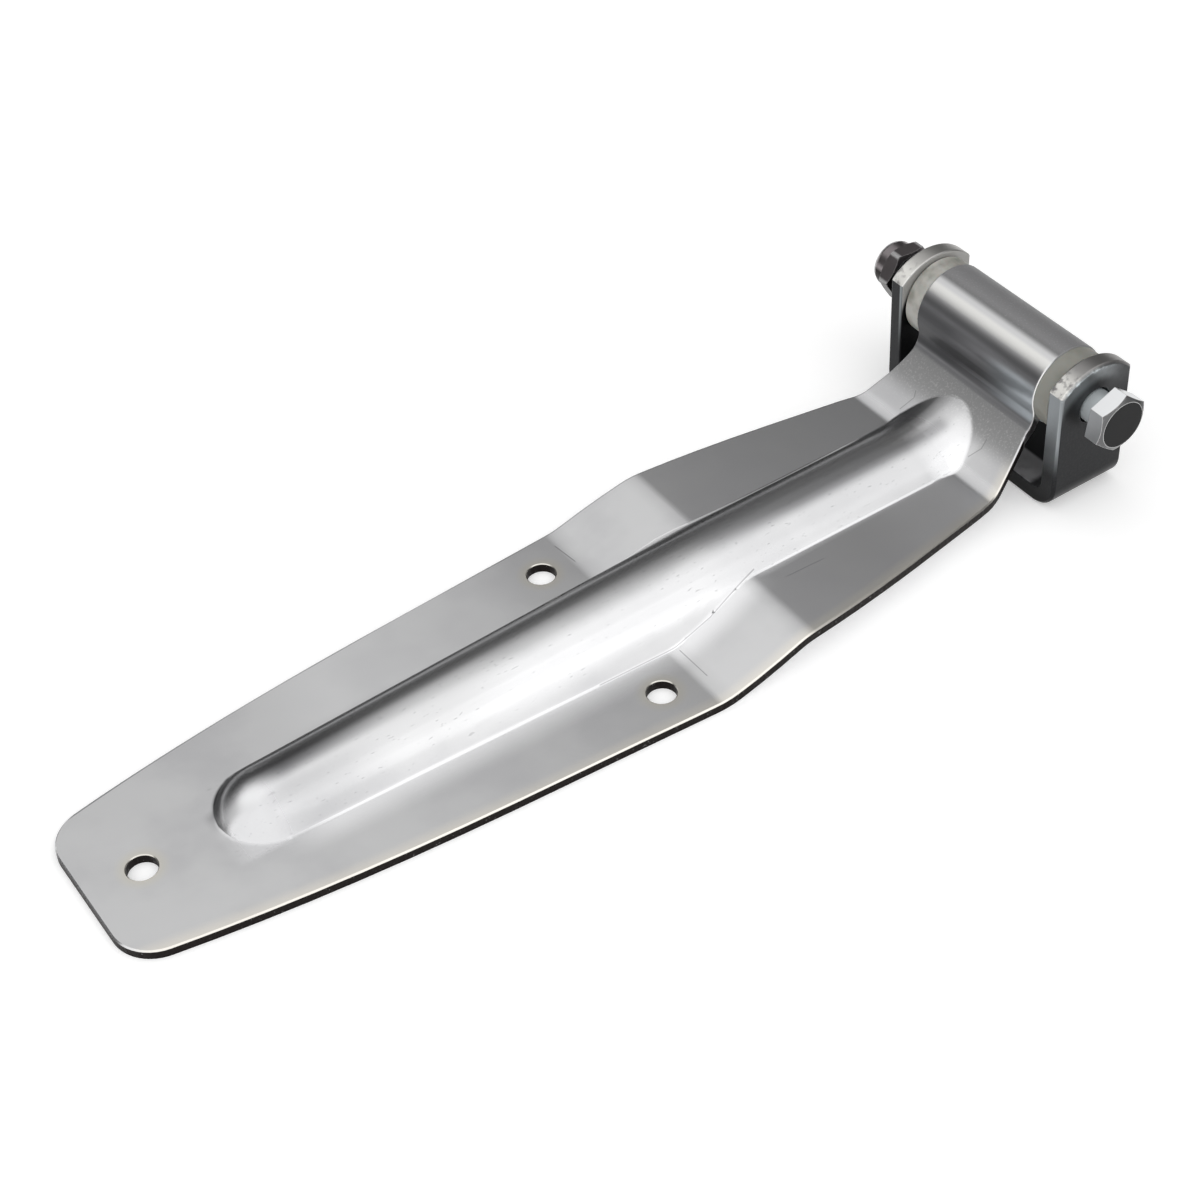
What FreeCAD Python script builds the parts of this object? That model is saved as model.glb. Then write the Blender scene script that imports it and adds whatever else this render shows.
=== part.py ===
import FreeCAD, Part

# Strap hinge for a rear door: a pressed leaf with a rolled eye, two flanged bushes, a U bracket and its bolt.
# Millimetres, +Z up. The origin is the middle of the bracket's fixing face, right under the hinge axis.
# The leaf runs along +X with its fixing face in the same plane as the bracket's, the hinge axis along Y.

import math
import os

from FreeCAD import Vector

# Leaf sheet
SHEET = 3.5
LEAF_LENGTH = 358.5
END_CORNER_RADIUS = 15.0
SHEARED_EDGE_BREAK = 0.5
HOLE_EDGE_BREAK = 0.3

# Rolled eye and the neck that turns the sheet up into it
AXIS_HEIGHT = 40.0
EYE_RADIUS = 15.0
EYE_LENGTH = 60.0
NECK_RADIUS = 8.0
SEAM_GAP = 0.4

# Steps of the leaf from its fixing face up to the eye, measured on its upper side
LOW_STEP_START = 157.5
LOW_STEP_END = 125.5
STEP_HEIGHT = 8.5
HIGH_STEP_START = 34.5
ROOT_START = 22.5
ROOT_HEIGHT = 17.5
ROOT_SLOPE = 47.0
LOW_BEND_RADIUS = 30.0
HIGH_BEND_RADIUS = 10.0
ROOT_BEND_RADIUS = 60.0
ROOT_LENGTH = 6.7

# Half widths of the leaf's outline along its length
END_HALF_WIDTH = 30.3
OUTLINE_STATIONS = [(300.0, 40.1), (240.0, 45.8), (180.0, 49.5), (150.0, 51.0), (125.0, 49.9)]
TAPER_STATIONS = [(100.0, 47.3), (75.0, 43.6), (50.0, 39.3), (36.0, 36.4), (26.0, 33.0)]

# Pressed bead along the middle: round sections about one line under the leaf
BEAD_AXIS_DEPTH = 7.9
BEAD_NOSE_X = 296.5
BEAD_NOSE_RADIUS = 18.3
BEAD_RISE_ANGLE = 1.7
BEAD_SWELL_RADIUS = 800.0
BEAD_NECK_X = 46.0
BEAD_NECK_RADIUS = 23.3
BEAD_FLARE_X = 30.0
BEAD_FLARE_RISE = 6.5
BEAD_END_SETBACK = 5.0
BEAD_ROOT_FILLET = 2.0

# Bolt holes of the leaf
HOLE_RADIUS = 5.0
END_HOLE_INSET = 19.0
HOLE_PITCH = 167.0
PAIR_SPACING = 70.0

# U bracket bent from flat bar
BAR_WIDTH = 31.0
BAR_THICKNESS = 6.5
BRACKET_INNER_WIDTH = 75.0
BRACKET_BEND_RADIUS = 3.5
EAR_HEIGHT = 56.0
EAR_TOP_RADIUS = 21.0
OUTER_EDGE_BREAK = 0.9
INNER_EDGE_BREAK = 0.4

# Hinge bolt, lock nut and the fits on them
BOLT_RADIUS = 6.0
BOLT_LENGTH = 110.0
BOLT_TIP_CHAMFER = 1.2
HEX_ACROSS_FLATS = 19.0
HEAD_HEIGHT = 7.5
HEAD_STAND_OFF = 5.7
HEAD_TURN = 38.0
WASHER_FACE_RADIUS = 8.7
WASHER_FACE_HEIGHT = 0.6
EAR_HOLE_CLEARANCE = 0.75
NUT_HEIGHT = 12.0
NUT_HEX_HEIGHT = 6.5
NUT_STAND_OFF = 6.5
NUT_TURN = 1.0
NUT_COLLAR_RADIUS = 8.6
NUT_COLLAR_ROUND = 2.0
NUT_COLLAR_SHOULDER = 0.6
THREAD_CLEARANCE = 0.03
INSERT_THICKNESS = 1.4
INSERT_WIDTH = 3.0
INSERT_LIP = 0.5
HEX_FACE_RADIUS = 8.6
HEX_CHAMFER_ANGLE = 30.0

# Flanged bushes
BUSH_FLANGE_RADIUS = 14.5
BUSH_BARREL_LENGTH = 24.0
BUSH_RUNNING_CLEARANCE = 0.05
BUSH_END_CLEARANCE = 0.3
BUSH_FLANGE_ROUND = 0.8
BUSH_LEAD_IN = 0.8

# How far a cut runs past the face it leaves by, and how near two places count as one
OVERRUN = 1.0
SAME_PLACE = 0.01

# Worked out from the sizes above
EYE_BORE_RADIUS = EYE_RADIUS - SHEET
EAR_INNER = BRACKET_INNER_WIDTH / 2
EAR_OUTER = EAR_INNER + BAR_THICKNESS
HEAD_SEAT = EAR_OUTER + HEAD_STAND_OFF
NUT_SEAT = EAR_OUTER + NUT_STAND_OFF
EYE_CENTRE = Vector(0, 0, AXIS_HEIGHT)
ALONG_AXIS = Vector(0, 1, 0)
END_HOLE_X = LEAF_LENGTH - END_HOLE_INSET
PAIR_HOLE_X = END_HOLE_X - HOLE_PITCH
OUTLINE_START = EYE_RADIUS + SHEET / 2


def rounded_corner(before, corner, after, radius):
    """Arc of the given radius tangent to both runs that meet at a corner."""
    back = (before - corner).normalize()
    on = (after - corner).normalize()
    half_angle = back.getAngle(on) / 2
    trim = radius / math.tan(half_angle)
    inward = (back + on).normalize()
    middle = corner + inward * (radius / math.sin(half_angle) - radius)
    return Part.Arc(corner + back * trim, middle, corner + on * trim)


def bent_path(points, radii):
    """Edges of an open path of straight runs with a rounded bend at each inner point."""
    edges = []
    start = points[0]
    for index, radius in enumerate(radii):
        arc = rounded_corner(points[index], points[index + 1], points[index + 2], radius)
        edges.append(Part.LineSegment(start, arc.StartPoint).toShape())
        edges.append(arc.toShape())
        start = arc.EndPoint
    edges.append(Part.LineSegment(start, points[-1]).toShape())
    return edges


def left_of(run, plane_normal):
    return plane_normal.cross(run).normalize()


def shifted_path(points, radii, distance, plane_normal):
    """The same path moved to its left by a distance, with its bends kept concentric."""
    runs = [(b - a).normalize() for a, b in zip(points, points[1:])]
    lefts = [left_of(run, plane_normal) for run in runs]
    moved = [points[0] + lefts[0] * distance]
    moved_radii = []
    for index, radius in enumerate(radii):
        mitre = lefts[index] + lefts[index + 1]
        mitre = mitre * (2 / mitre.Length ** 2)
        moved.append(points[index + 1] + mitre * distance)
        turns_left = runs[index].cross(runs[index + 1]).dot(plane_normal) > 0
        moved_radii.append(radius - distance if turns_left else radius + distance)
    moved.append(points[-1] + lefts[-1] * distance)
    return moved, moved_radii


def face_between(edges, extra_points):
    """Flat face bounded by an open path and the straight lines that close it."""
    wire = Part.Wire(edges)
    first = edges[0].Vertexes[0].Point
    last = edges[-1].Vertexes[-1].Point
    closing = [last] + extra_points + [first]
    lines = [Part.LineSegment(a, b).toShape() for a, b in zip(closing, closing[1:])]
    return Part.Face(Part.Wire(wire.Edges + lines))


def extruded_both_ways(face, direction, half_length):
    face = face.copy()
    face.translate(direction * -half_length)
    return face.extrude(direction * 2 * half_length)


def leaf_top_path():
    """Upper side of the leaf from a point past the end of its root to the free end."""
    slope = math.radians(ROOT_SLOPE)
    root = Vector(ROOT_START, 0, SHEET + ROOT_HEIGHT)
    points = [
        root + Vector(-math.cos(slope), 0, math.sin(slope)) * 2 * ROOT_LENGTH,
        root,
        Vector(HIGH_STEP_START, 0, SHEET + STEP_HEIGHT),
        Vector(LOW_STEP_END, 0, SHEET + STEP_HEIGHT),
        Vector(LOW_STEP_START, 0, SHEET),
        Vector(LEAF_LENGTH, 0, SHEET),
    ]
    radii = [ROOT_BEND_RADIUS, HIGH_BEND_RADIUS, LOW_BEND_RADIUS, LOW_BEND_RADIUS]
    return points, radii


def leaf_under_path():
    """Underside of the leaf, one sheet thickness below its upper side."""
    points, radii = leaf_top_path()
    return shifted_path(points, radii, SHEET, ALONG_AXIS)


def solid_below(points, radii, half_width, depth):
    """Everything under a path, as wide and as deep as asked."""
    floor = [Vector(points[-1].x, 0, -depth), Vector(points[0].x, 0, -depth)]
    return extruded_both_ways(face_between(bent_path(points, radii), floor), ALONG_AXIS, half_width)


def bead_end(inset):
    """Where the bead's own form ends, inside the root's sheet."""
    return ROOT_START - BEAD_END_SETBACK - inset / 2


def bead_solid(inset):
    """Bead as a turned form about its own line, made smaller by an inset for its inner side."""
    centre = Vector(BEAD_NOSE_X, 0, SHEET - BEAD_AXIS_DEPTH)
    nose = BEAD_NOSE_RADIUS - inset
    neck = BEAD_NECK_RADIUS - inset
    rise = math.radians(BEAD_RISE_ANGLE)
    tip = centre + Vector(nose, 0, 0)
    nose_side = centre + Vector(math.sqrt(0.5), 0, math.sqrt(0.5)) * nose
    nose_top = centre + Vector(math.sin(rise), 0, math.cos(rise)) * nose
    crest_z = centre.z + neck
    swell_top = Vector(nose_top.x - (crest_z - nose_top.z) / math.tan(rise), 0, crest_z)
    neck_top = Vector(BEAD_NECK_X, 0, crest_z)
    swell = rounded_corner(nose_top, swell_top, neck_top, BEAD_SWELL_RADIUS)
    end_top = Vector(bead_end(inset), 0, crest_z + BEAD_FLARE_RISE)
    end_middle = Vector(bead_end(inset), 0, centre.z)
    run_out = Part.BezierCurve()
    run_out.setPoles([neck_top, Vector(BEAD_FLARE_X, 0, crest_z), end_top])
    edges = [
        Part.Arc(tip, nose_side, nose_top).toShape(),
        Part.LineSegment(nose_top, swell.StartPoint).toShape(),
        swell.toShape(),
        Part.LineSegment(swell.EndPoint, neck_top).toShape(),
        run_out.toShape(),
        Part.LineSegment(end_top, end_middle).toShape(),
        Part.LineSegment(end_middle, tip).toShape(),
    ]
    section = Part.Face(Part.Wire(edges))
    return section.revolve(centre, Vector(1, 0, 0), 360)


def leaf_outline():
    """Plan outline of the leaf as a tall block, with the rounded corners of its free end."""
    eye_half = EYE_LENGTH / 2
    stations = [(LEAF_LENGTH, END_HALF_WIDTH)] + OUTLINE_STATIONS + TAPER_STATIONS
    stations.append((OUTLINE_START, eye_half))
    points = [Vector(x, half_width, 0) for x, half_width in stations]
    side = Part.BSplineCurve()
    side.interpolate(points)
    far_edge = side.toShape()
    near_edge = far_edge.mirror(Vector(0, 0, 0), ALONG_AXIS)
    back_x = -2 * EYE_RADIUS
    eye_points = [points[-1], Vector(back_x, eye_half, 0), Vector(back_x, -eye_half, 0)]
    eye_points.append(Vector(points[-1].x, -eye_half, 0))
    eye_edges = [Part.LineSegment(a, b).toShape() for a, b in zip(eye_points, eye_points[1:])]
    end_edge = Part.LineSegment(Vector(LEAF_LENGTH, -END_HALF_WIDTH, 0), points[0]).toShape()
    outline = Part.Wire(Part.__sortEdges__([far_edge, near_edge, end_edge] + eye_edges))
    block = Part.Face(outline).extrude(Vector(0, 0, AXIS_HEIGHT + 2 * EYE_RADIUS))
    corners = [
        edge for edge in block.Edges
        if edge.BoundBox.ZLength > AXIS_HEIGHT and edge.CenterOfMass.x > LEAF_LENGTH - OVERRUN
    ]
    return block.makeFillet(END_CORNER_RADIUS, corners)


def root_end():
    """Point on the root's upper side where the leaf's own path gives way to the eye's, and the way up from it."""
    points, _ = leaf_top_path()
    run = (points[0] - points[1]).normalize()
    return points[1] + run * ROOT_LENGTH, run


def beyond_root():
    """Block of everything above the square line across the root's end."""
    start, run = root_end()
    outward = left_of(run, ALONG_AXIS)
    depth = EYE_LENGTH / 2
    corners = [start + outward * depth, start - outward * depth]
    corners += [corners[1] + run * depth, corners[0] + run * depth, corners[0]]
    return extruded_both_ways(Part.Face(Part.makePolygon(corners)), ALONG_AXIS, 3 * EYE_LENGTH)


def eye_profile():
    """Section of the root, the neck and the rolled eye, whose seam closes on the underside."""
    start, run = root_end()
    outward = left_of(run, ALONG_AXIS)
    across = outward.dot(start + outward * NECK_RADIUS - EYE_CENTRE)
    reach = math.sqrt((EYE_RADIUS + NECK_RADIUS) ** 2 - across ** 2)
    along = run.dot(start - EYE_CENTRE)
    neck_centre = start + outward * NECK_RADIUS + run * (-along - reach)
    top_tangent = neck_centre - outward * NECK_RADIUS
    under_tangent = neck_centre - outward * (NECK_RADIUS + SHEET)
    to_neck = (neck_centre - EYE_CENTRE).normalize()
    eye_top = EYE_CENTRE + to_neck * EYE_RADIUS
    bore_top = EYE_CENTRE + to_neck * EYE_BORE_RADIUS
    seam_across = outward.dot(under_tangent - outward * SEAM_GAP - EYE_CENTRE)
    seam_outer = EYE_CENTRE + outward * seam_across - run * math.sqrt(EYE_RADIUS ** 2 - seam_across ** 2)
    seam_inner = EYE_CENTRE + outward * seam_across - run * math.sqrt(EYE_BORE_RADIUS ** 2 - seam_across ** 2)
    bend_middle = ((top_tangent + eye_top) * 0.5 - neck_centre).normalize()
    edges = [
        Part.LineSegment(start, top_tangent).toShape(),
        Part.Arc(top_tangent, neck_centre + bend_middle * NECK_RADIUS, eye_top).toShape(),
        Part.Arc(eye_top, EYE_CENTRE + run * EYE_RADIUS, seam_outer).toShape(),
        Part.LineSegment(seam_outer, seam_inner).toShape(),
        Part.Arc(seam_inner, EYE_CENTRE + run * EYE_BORE_RADIUS, bore_top).toShape(),
        Part.Arc(bore_top, neck_centre + bend_middle * (NECK_RADIUS + SHEET), under_tangent).toShape(),
        Part.LineSegment(under_tangent, start - outward * SHEET).toShape(),
        Part.LineSegment(start - outward * SHEET, start).toShape(),
    ]
    return Part.Face(Part.Wire(edges))


def crossing_edges(body, inset):
    """Edges where the bead meets the leaf, on either side and round its nose."""
    bead_reach = BEAD_NECK_RADIUS + BEAD_FLARE_RISE
    chosen = []
    for edge in body.Edges:
        box = edge.BoundBox
        inside = max(abs(box.YMin), abs(box.YMax)) < bead_reach
        square_across = box.XLength < SAME_PLACE
        above_floor = box.ZMin > -OVERRUN
        before_end = box.XMin > bead_end(inset) + SAME_PLACE
        if inside and not square_across and above_floor and before_end:
            chosen.append(edge)
    return chosen


def pressed_sheet():
    """Stepped sheet with its bead, wide enough to be trimmed to the outline."""
    half_width = 2 * EYE_LENGTH
    top_points, top_radii = leaf_top_path()
    under_points, under_radii = leaf_under_path()
    upper = solid_below(top_points, top_radii, half_width, EYE_LENGTH).fuse(bead_solid(0))
    lower = solid_below(under_points, under_radii, half_width, 2 * EYE_LENGTH).fuse(bead_solid(SHEET))
    upper = upper.removeSplitter()
    lower = lower.removeSplitter()
    upper = upper.makeFillet(BEAD_ROOT_FILLET, crossing_edges(upper, 0))
    lower = lower.makeFillet(BEAD_ROOT_FILLET + SHEET, crossing_edges(lower, SHEET))
    return upper, lower


def holes_of_leaf():
    drill = Part.makeCylinder(HOLE_RADIUS, AXIS_HEIGHT, Vector(END_HOLE_X, 0, -SHEET))
    for side in (-1, 1):
        centre = Vector(PAIR_HOLE_X, side * PAIR_SPACING / 2, -SHEET)
        drill = drill.fuse(Part.makeCylinder(HOLE_RADIUS, AXIS_HEIGHT, centre))
    return drill


def is_wall(face):
    """Whether a face stands upright and is more than a sliver."""
    first_u, last_u, first_v, last_v = face.ParameterRange
    normal = face.normalAt((first_u + last_u) / 2, (first_v + last_v) / 2)
    return abs(normal.z) < SAME_PLACE and face.BoundBox.XLength + face.BoundBox.YLength > SHEET


def hole_edges(body):
    """Upper rims of the leaf's bolt holes."""
    rims = [edge for edge in body.Edges if isinstance(edge.Curve, Part.Circle)]
    upper = [edge for edge in rims if abs(edge.BoundBox.ZMin - SHEET) < SAME_PLACE]
    return [edge for edge in upper if abs(edge.Curve.Radius - HOLE_RADIUS) < SAME_PLACE]


def sheared_edges(body):
    """Upper edges of the sheet's cut walls, from the neck round the free end."""
    chosen = []
    for wall in body.Faces:
        if not is_wall(wall):
            continue
        for edge in wall.Edges:
            middle = edge.valueAt((edge.FirstParameter + edge.LastParameter) / 2)
            below = Part.Vertex(middle - Vector(0, 0, OVERRUN))
            over_wall = wall.distToShape(below)[0] < SAME_PLACE
            upright = edge.BoundBox.XLength + edge.BoundBox.YLength < SAME_PLACE
            if over_wall and not upright and middle.x > OUTLINE_START:
                chosen.append(edge)
    return chosen


def leaf():
    """Stepped sheet and rolled eye in one, trimmed to the outline, with its holes and its broken sheared edge."""
    upper, lower = pressed_sheet()
    sheet = upper.cut(lower).cut(beyond_root())
    eye = extruded_both_ways(eye_profile(), ALONG_AXIS, 2 * EYE_LENGTH)
    blank = sheet.fuse(eye).common(leaf_outline()).removeSplitter()
    blank = blank.makeChamfer(SHEARED_EDGE_BREAK, sheared_edges(blank))
    blank = blank.cut(holes_of_leaf()).removeSplitter()
    return blank.makeChamfer(HOLE_EDGE_BREAK, hole_edges(blank))


def bracket():
    """Flat bar bent to a U, with arched ends and a bolt hole through each ear."""
    across = Vector(1, 0, 0)
    tall = EAR_HEIGHT + BAR_THICKNESS
    outer = [
        Vector(0, EAR_OUTER, tall), Vector(0, EAR_OUTER, 0), Vector(0, -EAR_OUTER, 0), Vector(0, -EAR_OUTER, tall),
    ]
    outer_radii = [BRACKET_BEND_RADIUS + BAR_THICKNESS] * 2
    inner, inner_radii = shifted_path(outer, outer_radii, BAR_THICKNESS, across * -1)
    outer_edges = bent_path(outer, outer_radii)
    inner_edges = bent_path(inner, inner_radii)
    lids = [
        Part.LineSegment(outer[0], inner[0]).toShape(),
        Part.LineSegment(outer[-1], inner[-1]).toShape(),
    ]
    section = Part.Face(Part.Wire(Part.__sortEdges__(outer_edges + inner_edges + lids)))
    bar = extruded_both_ways(section, across, BAR_WIDTH / 2)
    bar = bar.common(ear_outline())
    bar = bar.makeChamfer(OUTER_EDGE_BREAK, rim_edges(bar, outer_edges))
    bar = bar.makeChamfer(INNER_EDGE_BREAK, rim_edges(bar, inner_edges))
    return bar.cut(bolt_bore()).removeSplitter()


def rim_edges(bar, section_edges):
    """Edges of the bar's rim that lie over one side of its bent section, without the lines of its bends."""
    side = Part.Compound(section_edges)
    chosen = []
    for edge in bar.Edges:
        middle = edge.valueAt((edge.FirstParameter + edge.LastParameter) / 2)
        on_side = side.distToShape(Part.Vertex(Vector(0, middle.y, middle.z)))[0] < SAME_PLACE
        bend_line = edge.BoundBox.XLength > SAME_PLACE and edge.BoundBox.ZLength < SAME_PLACE
        if on_side and not bend_line:
            chosen.append(edge)
    return chosen


def ear_outline():
    """Front view of the bracket: straight sides under an arched top."""
    half = BAR_WIDTH / 2
    shoulder = EAR_HEIGHT - EAR_TOP_RADIUS + math.sqrt(EAR_TOP_RADIUS ** 2 - half ** 2)
    top = Part.Arc(Vector(half, 0, shoulder), Vector(0, 0, EAR_HEIGHT), Vector(-half, 0, shoulder)).toShape()
    sides = [Vector(-half, 0, shoulder), Vector(-half, 0, 0), Vector(half, 0, 0), Vector(half, 0, shoulder)]
    lines = [Part.LineSegment(a, b).toShape() for a, b in zip(sides, sides[1:])]
    return extruded_both_ways(Part.Face(Part.Wire([top] + lines)), ALONG_AXIS, 2 * EAR_OUTER)


def bolt_bore():
    radius = BOLT_RADIUS + EAR_HOLE_CLEARANCE
    return Part.makeCylinder(radius, 4 * EAR_OUTER, EYE_CENTRE - ALONG_AXIS * 2 * EAR_OUTER, ALONG_AXIS)


def turned(profile):
    """Turned form about the hinge axis from points given as (radius, place along the axis)."""
    points = [EYE_CENTRE + Vector(radius, y, 0) for radius, y in profile]
    section = Part.Face(Part.makePolygon(points + [points[0]]))
    return section.revolve(EYE_CENTRE, ALONG_AXIS, 360)


def hex_prism(start, end, turn):
    """Hexagon across the hinge axis between two places along it."""
    corner_radius = HEX_ACROSS_FLATS / math.sqrt(3)
    points = []
    for index in range(7):
        angle = math.radians(turn + 60 * index)
        offset = Vector(math.cos(angle), 0, math.sin(angle)) * corner_radius
        points.append(EYE_CENTRE + Vector(0, start, 0) + offset)
    return Part.Face(Part.makePolygon(points)).extrude(Vector(0, end - start, 0))


def chamfered_hex(start, end, turn, chamfer_start):
    """Hexagon with the round chamfer of a bolt head at its end, and at its start too where asked."""
    corner_radius = HEX_ACROSS_FLATS / math.sqrt(3)
    outward = 1 if end > start else -1
    drop = (corner_radius - HEX_FACE_RADIUS) * math.tan(math.radians(HEX_CHAMFER_ANGLE)) * outward
    profile = [(0, end), (HEX_FACE_RADIUS, end), (corner_radius, end - drop)]
    if chamfer_start:
        profile += [(corner_radius, start + drop), (HEX_FACE_RADIUS, start), (0, start)]
    else:
        profile += [(corner_radius, start), (0, start)]
    return hex_prism(start, end, turn).common(turned(profile))


def hinge_bolt():
    """Hexagon bolt from the ear with its head to the tip inside the lock nut."""
    head_start = HEAD_SEAT + WASHER_FACE_HEIGHT
    head = chamfered_hex(head_start, HEAD_SEAT + HEAD_HEIGHT, HEAD_TURN, False)
    tip = HEAD_SEAT - BOLT_LENGTH
    shank = turned([
        (0, head_start), (WASHER_FACE_RADIUS, head_start), (WASHER_FACE_RADIUS, HEAD_SEAT),
        (BOLT_RADIUS, HEAD_SEAT), (BOLT_RADIUS, tip + BOLT_TIP_CHAMFER),
        (BOLT_RADIUS - BOLT_TIP_CHAMFER, tip), (0, tip),
    ])
    return head.fuse(shank).removeSplitter()


def lock_nut():
    """Hexagon nut with a rounded collar that holds the locking ring."""
    seat = -NUT_SEAT
    end = seat - NUT_HEIGHT
    hex_end = seat - NUT_HEX_HEIGHT
    hexagon = chamfered_hex(seat, hex_end, NUT_TURN, True)
    shoulder = NUT_COLLAR_RADIUS - NUT_COLLAR_SHOULDER
    collar = turned([
        (0, seat), (NUT_COLLAR_RADIUS, seat), (NUT_COLLAR_RADIUS, end + NUT_COLLAR_ROUND),
        (shoulder, end + NUT_COLLAR_SHOULDER), (NUT_COLLAR_RADIUS - NUT_COLLAR_ROUND, end), (0, end),
    ])
    bore_radius = BOLT_RADIUS + THREAD_CLEARANCE
    before = seat + OVERRUN
    beyond = end - OVERRUN
    bore = turned([(0, before), (bore_radius, before), (bore_radius, beyond), (0, beyond)])
    pocket_radius = bore_radius + INSERT_THICKNESS
    pocket_start = end + INSERT_LIP
    pocket_end = pocket_start + INSERT_WIDTH
    pocket = turned([(0, pocket_end), (pocket_radius, pocket_end), (pocket_radius, pocket_start), (0, pocket_start)])
    return hexagon.fuse(collar).cut(bore).cut(pocket).removeSplitter()


def locking_ring():
    """Ring in the nut's collar that grips the thread."""
    start = -NUT_SEAT - NUT_HEIGHT + INSERT_LIP
    end = start + INSERT_WIDTH
    inner = BOLT_RADIUS + THREAD_CLEARANCE
    outer = inner + INSERT_THICKNESS
    return turned([(inner, start), (outer, start), (outer, end), (inner, end)])


def bush(side):
    """Flanged bush: its barrel fills the eye's end and its flange keeps the eye off the ear."""
    flange_start = side * EYE_LENGTH / 2
    flange_end = side * (EAR_INNER - BUSH_END_CLEARANCE)
    barrel_end = flange_start - side * BUSH_BARREL_LENGTH
    bore = BOLT_RADIUS + BUSH_RUNNING_CLEARANCE
    return turned([
        (bore, flange_end), (BUSH_FLANGE_RADIUS - BUSH_FLANGE_ROUND, flange_end),
        (BUSH_FLANGE_RADIUS, flange_end - side * BUSH_FLANGE_ROUND), (BUSH_FLANGE_RADIUS, flange_start),
        (EYE_BORE_RADIUS, flange_start), (EYE_BORE_RADIUS, barrel_end + side * BUSH_LEAD_IN),
        (EYE_BORE_RADIUS - BUSH_LEAD_IN, barrel_end), (bore, barrel_end),
    ])


def head_side_bush():
    return bush(1)


def nut_side_bush():
    return bush(-1)


PARTS = {
    "strap_leaf": leaf,
    "bracket": bracket,
    "hinge_bolt": hinge_bolt,
    "lock_nut": lock_nut,
    "locking_ring": locking_ring,
    "head_side_bush": head_side_bush,
    "nut_side_bush": nut_side_bush,
}

os.makedirs("parts", exist_ok=True)
for name, make in PARTS.items():
    shape = make()
    print(name, "valid" if shape.isValid() else "NOT VALID", len(shape.Solids), round(shape.Volume, 1))
    shape.exportStep("parts/" + name + ".step")
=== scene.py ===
import math
from collections import namedtuple
from functools import partial, reduce

import bmesh
import bpy
from bpy.props import FloatProperty, FloatVectorProperty, IntProperty, PointerProperty
from mathutils import Matrix, Vector


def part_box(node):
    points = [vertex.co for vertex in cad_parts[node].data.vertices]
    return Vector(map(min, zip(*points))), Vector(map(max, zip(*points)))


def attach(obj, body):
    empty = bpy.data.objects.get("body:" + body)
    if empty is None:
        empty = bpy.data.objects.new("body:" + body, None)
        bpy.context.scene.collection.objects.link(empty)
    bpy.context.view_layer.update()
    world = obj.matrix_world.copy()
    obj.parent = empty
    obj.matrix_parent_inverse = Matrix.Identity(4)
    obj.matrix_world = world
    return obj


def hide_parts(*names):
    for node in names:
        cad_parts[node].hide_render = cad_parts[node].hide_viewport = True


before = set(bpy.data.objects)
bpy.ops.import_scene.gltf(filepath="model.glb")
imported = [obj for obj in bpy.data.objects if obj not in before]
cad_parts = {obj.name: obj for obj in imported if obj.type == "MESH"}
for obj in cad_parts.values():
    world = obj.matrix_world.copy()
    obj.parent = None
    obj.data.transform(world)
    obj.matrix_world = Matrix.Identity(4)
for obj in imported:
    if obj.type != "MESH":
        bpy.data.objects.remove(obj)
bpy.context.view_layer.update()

bl_info = {
    "name": "Rear Door Hinge",
    "version": (1, 0, 0),
    "blender": (4, 5, 0),
    "location": "3D View > Sidebar > Rear Hinge",
    "description": "Finishes a zinc plated rear door hinge, cuts its bolt's thread and sets up its studio",
    "category": "Object",
}

# Sizes that follow the solids, in metres
LEAF_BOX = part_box("strap_leaf")
BOLT_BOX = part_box("hinge_bolt")
AXIS_HEIGHT = 0.04
EYE_RADIUS = 0.015
EYE_HALF_LENGTH = 0.03
HOLE_RADIUS = 0.005
LEAF_HOLES = ((0.3395, 0.0), (0.1725, 0.035), (0.1725, -0.035))
EAR_ARCH_HEIGHT = 0.035
HEAD_HEIGHT = 0.0075
HEAD_SEAT = BOLT_BOX[1][1] - HEAD_HEIGHT

# Half widths of the leaf and of its bead, each with its distance from the hinge axis
LEAF_HALF_WIDTHS = (
    (0.018, 0.030), (0.026, 0.033), (0.036, 0.0364), (0.05, 0.0393), (0.075, 0.0436), (0.1, 0.0473),
    (0.125, 0.0499), (0.15, 0.051), (0.18, 0.0495), (0.24, 0.0458), (0.3, 0.0401), (0.3585, 0.0303),
)
BEAD_HALF_WIDTHS = (
    (0.046, 0.0172), (0.115, 0.0172), (0.13, 0.0184), (0.14, 0.0202), (0.15, 0.0214), (0.165, 0.022),
    (0.18, 0.0214), (0.22, 0.0202), (0.25, 0.0192), (0.295, 0.0176),
)
LENGTH_ON_CURVE = 0.4

# Lines on the leaf, each a run of corners in its plan
LEAF_MARKS = (
    ((0.1208, 0.0153), (0.1424, 0.0202), (0.1576, 0.0215), (0.1864, 0.0206)),
    ((0.1135, 0.0236), (0.0985, 0.0242)),
    ((0.0244, -0.0180), (0.0262, -0.0168), (0.0310, -0.0184)),
    ((0.0234, 0.0182), (0.0262, 0.0188), (0.0300, 0.0168)),
    ((0.1571, 0.0235), (0.1569, 0.0381)),
    ((0.1610, -0.0438), (0.1599, -0.0333)),
    ((0.0378, -0.0044), (0.0380, -0.0044)),
    ((0.0124, -0.0316), (0.0140, -0.0203)),
    ((0.0112, 0.0144), (0.0129, 0.0220)),
)
FAR_STEP_FOLD = ((0.1579, -0.0226), (0.1476, -0.0211), (0.1357, -0.0203), (0.1241, -0.0176))

# How near counts as the same place, in metres
MERGE_DISTANCE = 0.000002
SAME_FACE = 0.00001
JUST_OUTSIDE = 0.00005
JUST_INSIDE = 0.0001

# Angles in the meshes, in radians
FLAT_ENOUGH = math.radians(0.6)
SHARP_EDGE = math.radians(22)
SHARP_THREAD = math.radians(35)
SQUARE_RIM = 1.0

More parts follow.
